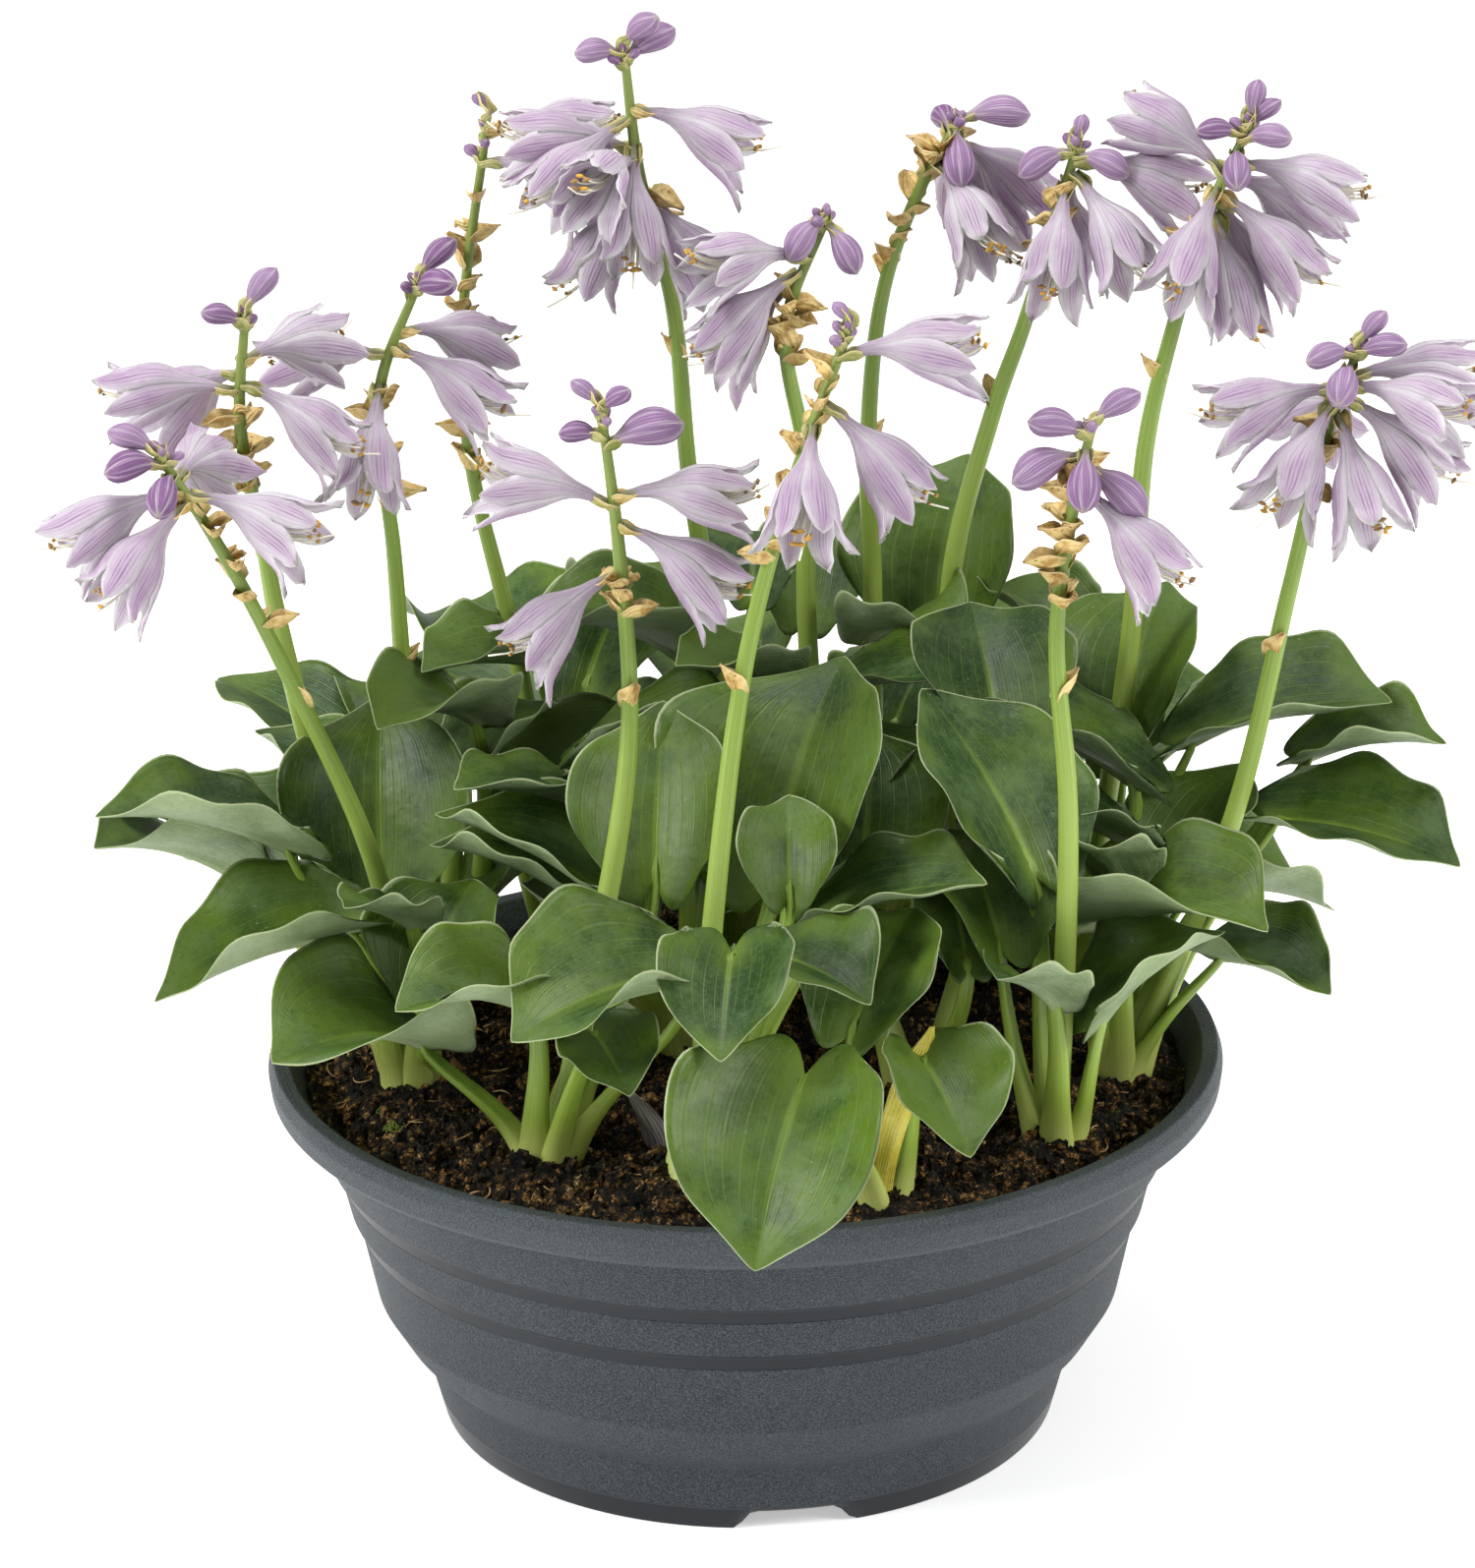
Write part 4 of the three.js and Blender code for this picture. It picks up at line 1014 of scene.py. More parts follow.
# Pot, as radii and heights of its outline
FLOOR_UNDERSIDE = 8
FLOOR_TOP = 11
FOOT_RADIUS = 115
OUTER_WALL = [
    (FOOT_RADIUS, 0), (117.5, 9.5), (122, 27), (130.5, 36), (138.8, 50), (145.5, 82.5), (147.8, 84),
    (151, 98), (152.2, 103.5), (154.8, 105), (164.2, 129.8),
]
RIM = [(172.6, 129.0), (175.0, 131.5), (175.8, 138.5), (173.8, 143.5), (168, 142.9)]
INNER_WALL = [(163.5, 134), (148.5, 100), (134, 48), (118, 28), (110, FLOOR_TOP), (0, FLOOR_TOP)]
FOOT_RING = [(0, FLOOR_UNDERSIDE), (106, FLOOR_UNDERSIDE), (108, 0)]
CORNER_ARC = 0.9
POT_SEGMENTS = 240

# Three notches in the foot ring, and a drain hole by each
NOTCHES = 3
NOTCH_AZIMUTH = -82
NOTCHED_BEYOND = 104
NOTCHED_BELOW = 10
NOTCH_HEIGHT = 7
NOTCH_BELOW = 43
NOTCH_ABOVE = 31
DRAIN_CIRCLE = 78
DRAIN_RADIUS = 6
DRILL_HEIGHT = 9
DRILL_LENGTH = 12


def rounded_outline(points, roundness):
    """The outline with a small arc at each corner, as radius and height."""
    points = np.array(points, float)
    outline = [points[0]]
    for before, corner, after in zip(points, points[1:], points[2:]):
        into, out = before - corner, after - corner
        cut = min(roundness, 0.42 * np.linalg.norm(into), 0.42 * np.linalg.norm(out))
        start, end = corner + unit(into) * cut, corner + unit(out) * cut
        for t in np.linspace(0, 1, 5):
            outline.append((1 - t) ** 2 * start + 2 * t * (1 - t) * corner + t * t * end)
    outline.append(points[-1])
    return np.array(outline)


def make_pot(finish):
    """The pot's outline turned about its axis, with its foot ring raised at the notches."""
    outline = rounded_outline([*FOOT_RING, *OUTER_WALL, *RIM, *INNER_WALL], CORNER_ARC)
    angles = 2 * np.pi * np.arange(POT_SEGMENTS) / POT_SEGMENTS
    apart = 360 / NOTCHES
    away = (np.degrees(angles) - NOTCH_AZIMUTH + apart / 2) % apart - apart / 2
    arc = np.abs(np.radians(away)) * FOOT_RADIUS
    cut = NOTCH_HEIGHT * np.clip((NOTCH_BELOW / 2 - arc) / ((NOTCH_BELOW - NOTCH_ABOVE) / 2), 0, 1)
    radius, height = outline[1:-1, 0][:, None], outline[1:-1, 1][:, None]
    on_ring = (radius > NOTCHED_BEYOND) & (height < NOTCHED_BELOW)
    lifted = np.where(on_ring, np.maximum(height, cut[None, :]), height)
    corners = np.stack([radius * np.cos(angles), radius * np.sin(angles), lifted + 0 * radius], -1)
    rows = len(corners)
    number = np.arange(rows * POT_SEGMENTS).reshape(rows, POT_SEGMENTS)
    beside = np.roll(number, -1, axis=1)
    faces = np.stack([number[:-1], beside[:-1], beside[1:], number[1:]], -1).reshape(-1, 4).tolist()
    middle_below, middle_above = rows * POT_SEGMENTS, rows * POT_SEGMENTS + 1
    faces += [[middle_below, beside[0, i], number[0, i]] for i in range(POT_SEGMENTS)]
    faces += [[middle_above, number[-1, i], beside[-1, i]] for i in range(POT_SEGMENTS)]
    middles = [[0, 0, FLOOR_UNDERSIDE], [0, 0, FLOOR_TOP]]
    points = np.concatenate([corners.reshape(-1, 3), middles])
    mesh = bpy.data.meshes.new("pot_body")
    mesh.from_pydata(((points + POT_AXIS) / 1000).tolist(), [], faces)
    body = drilled(mesh)
    body.polygons.foreach_set("use_smooth", [True] * len(body.polygons))
    return finished(body, "pot_body", [finish], "pot", "pot")


def drilled(mesh):
    """The pot's mesh with its drain holes cut through the floor."""
    body = bpy.data.objects.new("undrilled", mesh)
    bpy.context.collection.objects.link(body)
    drills = []
    for i in range(NOTCHES):
        azimuth = NOTCH_AZIMUTH + 360 // NOTCHES * i
        place = heading(azimuth) * DRAIN_CIRCLE + POT_AXIS + UP * DRILL_HEIGHT
        radius, length = DRAIN_RADIUS / 1000, DRILL_LENGTH / 1000
        bpy.ops.mesh.primitive_cylinder_add(vertices=32, radius=radius, depth=length, location=place / 1000)
        drill = bpy.context.object
        cut = body.modifiers.new("drain", "BOOLEAN")
        cut.operation = "DIFFERENCE"
        cut.object = drill
        drills.append(drill)
    evaluated = body.evaluated_get(bpy.context.evaluated_depsgraph_get())
    result = bpy.data.meshes.new_from_object(evaluated)
    for spare in [body, *drills]:
        bpy.data.objects.remove(spare)
    return result


# Soil
SOIL_SEGMENTS = 260
SOIL_SIDES = [(148, 100), (133.6, 48), (117.6, 28), (109.6, 11.4)]
SOIL_ROUGHNESS = 2.7
WALL_DIP = 4
WALL_DIP_RADII = (118, 160)
MOUND_HEIGHT = 4.5
MOUND_SPREAD = 260
CRUMB_LIMIT = 157

# Sizes of loose crumbs: piece, radius in metres, how many on a square metre, and seed
CRUMB_SIZES = [("fine_crumbs", 0.0013, 50000, 3), ("crumbs", 0.0026, 40000, 5), ("clods", 0.0048, 9000, 8)]


def soil_height(x, y):
    """The waved level of the soil, as its solid has it."""
    waves = np.sin(x * 0.083 + 1.2) * np.cos(y * 0.071) + 0.6 * np.sin(x * 0.15 - y * 0.12)
    return SOIL_LEVEL + SOIL_RELIEF * waves / 1.6


def wall_dip(radius):
    """How far the soil lies lower towards the pot's wall."""
    return WALL_DIP * eased(radius, *WALL_DIP_RADII)


def rough(x, y):
    """Clods and grains as a sum of turned waves."""
    total = 0 * x
    for k in range(9):
        angle = 2.4 * k
        size = 0.14 * 1.3**k
        total = total + np.sin(size * (x * math.cos(angle) + y * math.sin(angle)) + 1.7 * k) * 0.6 / 1.08**k
    return total


def make_soil(finishes):
    """The soil's body, rough and mounded at the crowns. Returns its top, on which crumbs lie."""
    radii = np.concatenate([np.linspace(0.6, CRUMB_LIMIT, 100), [159, SOIL_RADIUS, 161.6]])
    angles = 2 * np.pi * np.arange(SOIL_SEGMENTS) / SOIL_SEGMENTS
    radius, angle = np.meshgrid(radii, angles, indexing="ij")
    x, y = radius * np.cos(angle), radius * np.sin(angle)
    crowns = [shoot["crown"] for shoot in SHOOTS]
    mounds = sum(np.exp(-(((x - crown[0]) ** 2 + (y - crown[1]) ** 2) / MOUND_SPREAD)) for crown in crowns)
    mounds = np.clip(mounds, 0, 1)
    height = soil_height(x, y) - wall_dip(radius) + SOIL_ROUGHNESS * rough(x, y) * (1 - 0.6 * mounds)
    height = height + MOUND_HEIGHT * mounds
    top = np.stack([x, y, height], -1)
    sides = [np.stack([r * np.cos(angles), r * np.sin(angles), z + 0 * angles], -1) for r, z in SOIL_SIDES]
    corners = np.concatenate([top, np.array(sides)])
    rows = len(corners)
    number = np.arange(rows * SOIL_SEGMENTS).reshape(rows, SOIL_SEGMENTS)
    beside = np.roll(number, -1, axis=1)
    faces = np.stack([number[:-1], number[1:], beside[1:], beside[:-1]], -1).reshape(-1, 4).tolist()
    faces += [number[0].tolist(), number[-1, ::-1].tolist()]
    mesh = bpy.data.meshes.new("soil_body")
    points = (corners.reshape(-1, 3) + POT_AXIS) / 1000
    mesh.from_pydata(points.tolist(), [], faces)
    mesh.polygons.foreach_set("use_smooth", [True] * len(mesh.polygons))
    finished(mesh, "soil_body", [finishes.soil], "soil", "soil")
    inner = int((radii < CRUMB_LIMIT).sum())
    bed = bpy.data.meshes.new("crumb_bed")
    bed.from_pydata(points[: inner * SOIL_SEGMENTS].tolist(), [], faces[: (inner - 1) * SOIL_SEGMENTS])
    return bed


def crumb_tree(finish):
    """Geometry nodes that strew knobbly crumbs of one size over the soil's top."""
    tree = bpy.data.node_groups.new("crumbs_on_soil", "GeometryNodeTree")
    sockets = tree.interface
    sockets.new_socket("Geometry", in_out="INPUT", socket_type="NodeSocketGeometry")
    for name, default in (("Crumb Radius", 0.002), ("Density", 20000.0)):
        sockets.new_socket(name, in_out="INPUT", socket_type="NodeSocketFloat").default_value = default
    sockets.new_socket("Seed", in_out="INPUT", socket_type="NodeSocketInt").default_value = 1
    sockets.new_socket("Geometry", in_out="OUTPUT", socket_type="NodeSocketGeometry")
    nodes = tree.nodes
    given = nodes.new("NodeGroupInput").outputs
    result = nodes.new("NodeGroupOutput")
    strew = nodes.new("GeometryNodeDistributePointsOnFaces")
    ball = nodes.new("GeometryNodeMeshIcoSphere")
    ball.inputs["Subdivisions"].default_value = 1
    turn = random_vector(nodes, (0, 0, 0), (6.28, 6.28, 6.28))
    grow = random_vector(nodes, (0.35, 0.35, 0.3), (1.2, 1.0, 0.8))
    knob = random_vector(nodes, (-0.4, -0.4, -0.4), (0.4, 0.4, 0.4))
    push = nodes.new("ShaderNodeVectorMath")
    push.operation = "SCALE"
    dent = nodes.new("GeometryNodeSetPosition")
    pick = nodes.new("FunctionNodeRandomValue")
    own_tone = nodes.new("GeometryNodeStoreNamedAttribute")
    own_tone.data_type = "FLOAT"
    own_tone.domain = "INSTANCE"
    own_tone.inputs["Name"].default_value = "tone"
    copies = nodes.new("GeometryNodeInstanceOnPoints")
    real = nodes.new("GeometryNodeRealizeInstances")
    paint_all = nodes.new("GeometryNodeSetMaterial")
    paint_all.inputs["Material"].default_value = finish
    for start, end in (
        (given["Geometry"], strew.inputs["Mesh"]),
        (given["Density"], strew.inputs["Density"]),
        (given["Seed"], strew.inputs["Seed"]),
        (given["Crumb Radius"], ball.inputs["Radius"]),
        (given["Seed"], turn.inputs["Seed"]),
        (given["Seed"], grow.inputs["Seed"]),
        (strew.outputs["Points"], copies.inputs["Points"]),
        (knob.outputs["Value"], push.inputs[0]),
        (given["Crumb Radius"], push.inputs["Scale"]),
        (push.outputs["Vector"], dent.inputs["Offset"]),
        (ball.outputs["Mesh"], dent.inputs["Geometry"]),
        (dent.outputs["Geometry"], copies.inputs["Instance"]),
        (turn.outputs["Value"], copies.inputs["Rotation"]),
        (grow.outputs["Value"], copies.inputs["Scale"]),
        (copies.outputs["Instances"], own_tone.inputs["Geometry"]),
        (pick.outputs[1], own_tone.inputs["Value"]),
        (own_tone.outputs["Geometry"], real.inputs["Geometry"]),
        (real.outputs["Geometry"], paint_all.inputs["Geometry"]),
        (paint_all.outputs["Geometry"], result.inputs["Geometry"]),
    ):
        tree.links.new(start, end)
    return tree


def random_vector(nodes, low, high):
    """A node that draws a vector between two corners for each point."""
    node = nodes.new("FunctionNodeRandomValue")
    node.data_type = "FLOAT_VECTOR"
    node.inputs["Min"].default_value = low
    node.inputs["Max"].default_value = high
    return node


def strew_crumbs(bed_mesh, finish):
    """One piece of loose crumbs for each size, made plain meshes."""
    tree = crumb_tree(finish)
    socket = {item.name: item.identifier for item in tree.interface.items_tree if item.in_out == "INPUT"}
    for name, radius, density, seed in CRUMB_SIZES:
        bed = bpy.data.objects.new("bed", bed_mesh)
        bpy.context.collection.objects.link(bed)
        strewing = bed.modifiers.new("strew", "NODES")
        strewing.node_group = tree
        strewing[socket["Crumb Radius"]] = radius
        strewing[socket["Density"]] = float(density)
        strewing[socket["Seed"]] = seed
        evaluated = bed.evaluated_get(bpy.context.evaluated_depsgraph_get())
        mesh = bpy.data.meshes.new_from_object(evaluated)
        bpy.data.objects.remove(bed)
        mesh.materials.clear()
        finished(mesh, name, [finish], "soil")


FIBRES = 260
FIBRE_LIMIT = 154


def make_fibres(finish):
    """Brown bark and root fibres that lie on the soil."""
    fibres = Piece()
    for i in range(FIBRES):
        far = FIBRE_LIMIT * math.sqrt(0.5 + 0.5 * spread(i, 1))
        place = heading(180 * spread(i, 2)) * far
        way = heading(180 * spread(i, 3))
        length = 6 + 4.5 * spread(i, 4)
        t = np.linspace(-0.5, 0.5, 7)[:, None]
        bend = np.cross(UP, way) * (length * 0.35 * spread(i, 5)) * (1 - 4 * t * t)
        points = place + way * length * t + bend
        x, y = points[:, 0], points[:, 1]
        level = soil_height(x, y) - wall_dip(np.hypot(x, y))
        points[:, 2] = level + 1.6 + 1.2 * spread(i, 6) * np.sin(3 * t[:, 0] + i)
        across, over = tube_frame(points, UP)
        girth = (0.35 + 0.2 * spread(i, 7)) * (1 - 2.6 * t * t) * np.ones((1, 4))
        corners, faces = tube(points, across, over, girth)
        fibres.add(corners, faces, np.zeros((len(corners), 3)), 0.5 + 0.5 * spread(i, 8))
    fibres.make("fibres", [finish], "soil")


# Moss, the dead leaf and the dry sheath at the front. A patch is its place and its radius.
MOSS_PATCHES = [(-131, -38, 7), (-126, -62, 4), (24, -143, 4), (133, -60, 4), (60, 132, 6)]
MOSS_BLADES = 60


def make_moss(finish):
    """Small tufts of pointed green shoots on the soil."""
    moss = Piece()
    for patch, (x, y, radius) in enumerate(MOSS_PATCHES):
        for i in range(MOSS_BLADES):
            far = radius * math.sqrt(0.5 + 0.5 * spread(patch, i, 1))
            foot = np.array([x, y, 0.0]) + heading(180 * spread(patch, i, 2)) * far
            foot[2] = soil_height(foot[0], foot[1]) - 1.5
            growing = pitched(180 * spread(patch, i, 3), 60 + 25 * spread(patch, i, 4))
            length = 3.2 + 1.4 * spread(patch, i, 5)
            t = np.linspace(0, 1, 4)[:, None]
            points = foot + growing * (length * t) - UP * (1.5 * t * t)
            across, over = tube_frame(points, heading(37))
            corners, faces = tube(points, across, over, (0.6 - 0.5 * t) * np.ones((1, 4)))
            moss.add(corners, faces, np.zeros((len(corners), 3)), 0.5 + 0.5 * spread(patch, i, 6))
    moss.make("moss", [finish], "foliage")


WITHERED_ROUTE = [(46, -128, 132), (48, -131, 150), (53, -131, 168), (60, -128, 186), (64, -124, 197)]
WITHERED_WIDTHS = [3.5, 4.2, 5.5, 6.5, 1]
SHEATH_ROUTE = [(-31, -84, 132), (-33, -85, 141), (-37, -86, 150), (-42, -86, 159)]
SHEATH_WIDTHS = [3.5, 5, 4, 1]


def add_strap(piece, route, widths, fold, twist):
    """A folded, twisted strip that stands in the soil and ends in a point."""
    stations = np.linspace(0, 1, len(route))
    t, s = np.meshgrid(np.linspace(0, 1, 24), np.linspace(-1, 1, 9), indexing="ij")
    middle = np.stack([profile(t, list(zip(stations, axis))) for axis in np.array(route, float).T], -1)
    half = np.clip(profile(t, list(zip(stations, widths))), 0.3, 20)
    turn = twist * t
    sideways = np.stack([np.cos(turn), np.sin(turn), 0 * turn], -1)
    outwards = np.stack([np.sin(turn), -np.cos(turn), 0 * turn], -1)
    creased = fold * half * (np.abs(s) - 0.5) + 0.5 * np.sin(9 * t + 3 * s)
    surface = middle + sideways * (half * s)[..., None] - outwards * creased[..., None]
    corners, faces, _ = shell(surface, surface - outwards * 0.5)
    places = np.stack([s, t, half * (1 - np.abs(s))], -1).reshape(-1, 3)
    piece.add(corners, faces, np.concatenate([places, places]), 0.6)


def make_withered(finishes):
    """The dead yellow leaf and the dry sheath beside it."""
    dead_leaf, sheath = Piece(), Piece()
    add_strap(dead_leaf, WITHERED_ROUTE, WITHERED_WIDTHS, 0.7, 0.7)
    dead_leaf.make("withered_leaf", [finishes.withered], "foliage")
    add_strap(sheath, SHEATH_ROUTE, SHEATH_WIDTHS, 0.9, -0.5)
    sheath.make("dry_sheath", [finishes.sheath], "foliage")


# Materials
def new_material(name, roughness, **sockets):
    """A material with a plain Principled surface, its node tree and that surface."""
    material = bpy.data.materials.new(name)
    material.use_nodes = True
    nodes = material.node_tree.nodes
    surface = nodes["Principled BSDF"]
    surface.inputs["Roughness"].default_value = roughness
    for socket, value in sockets.items():
        surface.inputs[socket.replace("_", " ")].default_value = value
    return SimpleNamespace(material=material, nodes=nodes, links=material.node_tree.links, surface=surface)


def place_node(tree):
    """The piece's own place attribute, as its shares across and along and its distance in."""
    source = tree.nodes.new("ShaderNodeAttribute")
    source.attribute_name = "place"
    split = tree.nodes.new("ShaderNodeSeparateXYZ")
    tree.links.new(source.outputs["Vector"], split.inputs[0])
    return split.outputs


def tone_node(tree):
    """The tone of the leaf, flower or crumb that a point belongs to."""
    source = tree.nodes.new("ShaderNodeAttribute")
    source.attribute_name = "tone"
    return source.outputs["Fac"]


def set_input(tree, socket, value):
    """Links a socket to another one, or gives it a plain value."""
    if isinstance(value, bpy.types.NodeSocket):
        tree.links.new(value, socket)
    elif value is not None:
        socket.default_value = value


def maths(tree, operation, first, second=None, third=None, clamp=False):
    """The result of one sum on values or sockets."""
    node = tree.nodes.new("ShaderNodeMath")
    node.operation = operation
    node.use_clamp = clamp
    for socket, value in zip(node.inputs, (first, second, third)):
        set_input(tree, socket, value)
    return node.outputs[0]


def ramp(tree, value, low, high, start=0.0, end=1.0):
    """A value carried smoothly from low to high onto start to end."""
    node = tree.nodes.new("ShaderNodeMapRange")
    node.interpolation_type = "SMOOTHSTEP"
    for name, number in (("From Min", low), ("From Max", high), ("To Min", start), ("To Max", end)):
        node.inputs[name].default_value = number
    set_input(tree, node.inputs["Value"], value)
    return node.outputs["Result"]


def blend(tree, share_of_second, first, second):
    """Two colours mixed by the share of the second one."""
    node = tree.nodes.new("ShaderNodeMix")
    node.data_type = "RGBA"
    set_input(tree, node.inputs["Factor"], share_of_second)
    for name, value in (("A", first), ("B", second)):
        socket = next(s for s in node.inputs if s.name == name and s.type == "RGBA")
        set_input(tree, socket, value if isinstance(value, bpy.types.NodeSocket) else (*value, 1))
    return next(s for s in node.outputs if s.type == "RGBA")


def placed(tree, effect, **values):
    """A shared effect placed in a finish with its own values."""
    node = tree.nodes.new("ShaderNodeGroup")
    node.node_tree = bpy.data.node_groups[effect]
    for name, value in values.items():
        set_input(tree, node.inputs[name], value)
    return node.outputs


def noise(tree, scale, detail=3.0, roughness=0.55):
    """Noise over the object's own coordinates, in metres."""
    return placed(tree, "mottling", Scale=scale, Detail=detail, Roughness=roughness)["Share"]


def bump(tree, height, strength, distance):
    """Raises a finish's surface by a height."""
    node = tree.nodes.new("ShaderNodeBump")
    node.inputs["Strength"].default_value = strength
    node.inputs["Distance"].default_value = distance
    tree.links.new(height, node.inputs["Height"])
    tree.links.new(node.outputs["Normal"], tree.surface.inputs["Normal"])


def paint(tree, colour):
    """Gives a finish its colour."""
    tree.links.new(colour, tree.surface.inputs["Base Color"])


def stripes(tree, across, count, sharpness):
    """Veins or stripes side by side across a surface."""
    return placed(tree, "parallel_lines", Across=across, Count=count, Sharpness=sharpness)["Lines"]


def streaks(tree, scale, detail=3.0):
    """Uneven streaks, finer the larger their scale across, along and through the surface."""
    return placed(tree, "streaks", Stretch=scale, Detail=detail)["Share"]


def new_effect(name, inputs, outputs):
    """An empty shader node group with named inputs and outputs."""
    group = bpy.data.node_groups.new(name, "ShaderNodeTree")
    for socket_name, default in inputs.items():
        kind = "NodeSocketVector" if isinstance(default, tuple) else "NodeSocketFloat"
        socket = group.interface.new_socket(socket_name, in_out="INPUT", socket_type=kind)
        socket.default_value = default
    for socket_name in outputs:
        group.interface.new_socket(socket_name, in_out="OUTPUT", socket_type="NodeSocketFloat")
    given = group.nodes.new("NodeGroupInput").outputs
    result = group.nodes.new("NodeGroupOutput").inputs
    return SimpleNamespace(nodes=group.nodes, links=group.links, given=given, result=result)


def make_parallel_lines():
    """Fine lines at even steps across a surface: 1 on a line and 0 between lines."""
    tree = new_effect("parallel_lines", {"Across": 0.0, "Count": 6.0, "Sharpness": 2.0}, ["Lines"])
    steps = maths(tree, "MULTIPLY", maths(tree, "ABSOLUTE", tree.given["Across"]), tree.given["Count"])
    wave = maths(tree, "COSINE", maths(tree, "MULTIPLY", steps, 2 * math.pi))
    raised = maths(tree, "MULTIPLY_ADD", wave, 0.5, 0.5, clamp=True)
    lines = maths(tree, "POWER", raised, tree.given["Sharpness"])
    tree.links.new(lines, tree.result["Lines"])


def make_mottling():
    """Soft cloudy noise over the object's own coordinates, in metres."""
    tree = new_effect("mottling", {"Scale": 100.0, "Detail": 3.0, "Roughness": 0.55}, ["Share"])
    cloud = tree.nodes.new("ShaderNodeTexNoise")
    coordinates = tree.nodes.new("ShaderNodeTexCoord")
    tree.links.new(coordinates.outputs["Object"], cloud.inputs["Vector"])
    for name in ("Scale", "Detail", "Roughness"):
        tree.links.new(tree.given[name], cloud.inputs[name])
    tree.links.new(cloud.outputs["Fac"], tree.result["Share"])


def make_streaks():
    """Noise drawn out along a stalk or petal, from the piece's own place on its surface."""
    tree = new_effect("streaks", {"Stretch": (6.0, 3.0, 6.0), "Detail": 3.0}, ["Share"])
    source = tree.nodes.new("ShaderNodeAttribute")
    source.attribute_name = "place"
    stretched = tree.nodes.new("ShaderNodeVectorMath")
    stretched.operation = "MULTIPLY"
    tree.links.new(source.outputs["Vector"], stretched.inputs[0])
    tree.links.new(tree.given["Stretch"], stretched.inputs[1])
    cloud = tree.nodes.new("ShaderNodeTexNoise")
    cloud.inputs["Scale"].default_value = 1.0
    tree.links.new(stretched.outputs["Vector"], cloud.inputs["Vector"])
    tree.links.new(tree.given["Detail"], cloud.inputs["Detail"])
    tree.links.new(cloud.outputs["Fac"], tree.result["Share"])


def make_packed_grains():
    """Uneven grains pressed together: how far a point is down in a gap, and each grain's own tone."""
    tree = new_effect("packed_grains", {"Scale": 500.0}, ["Gap", "Tone"])
    coordinates = tree.nodes.new("ShaderNodeTexCoord").outputs["Object"]
    warp = tree.nodes.new("ShaderNodeTexNoise")
    tree.links.new(coordinates, warp.inputs["Vector"])
    tree.links.new(maths(tree, "MULTIPLY", tree.given["Scale"], 1.3), warp.inputs["Scale"])
    push = tree.nodes.new("ShaderNodeVectorMath")
    push.operation = "MULTIPLY_ADD"
    tree.links.new(warp.outputs["Color"], push.inputs[0])
    amount = tree.nodes.new("ShaderNodeCombineXYZ")
    step = maths(tree, "DIVIDE", 1.1, tree.given["Scale"])
    for socket in amount.inputs:
        tree.links.new(step, socket)
    tree.links.new(amount.outputs[0], push.inputs[1])
    tree.links.new(coordinates, push.inputs[2])
    cells = tree.nodes.new("ShaderNodeTexVoronoi")
    tree.links.new(push.outputs["Vector"], cells.inputs["Vector"])
    tree.links.new(tree.given["Scale"], cells.inputs["Scale"])
    tree.links.new(cells.outputs["Distance"], tree.result["Gap"])
    split = tree.nodes.new("ShaderNodeSeparateColor")
    tree.links.new(cells.outputs["Color"], split.inputs[0])
    tree.links.new(split.outputs[0], tree.result["Tone"])


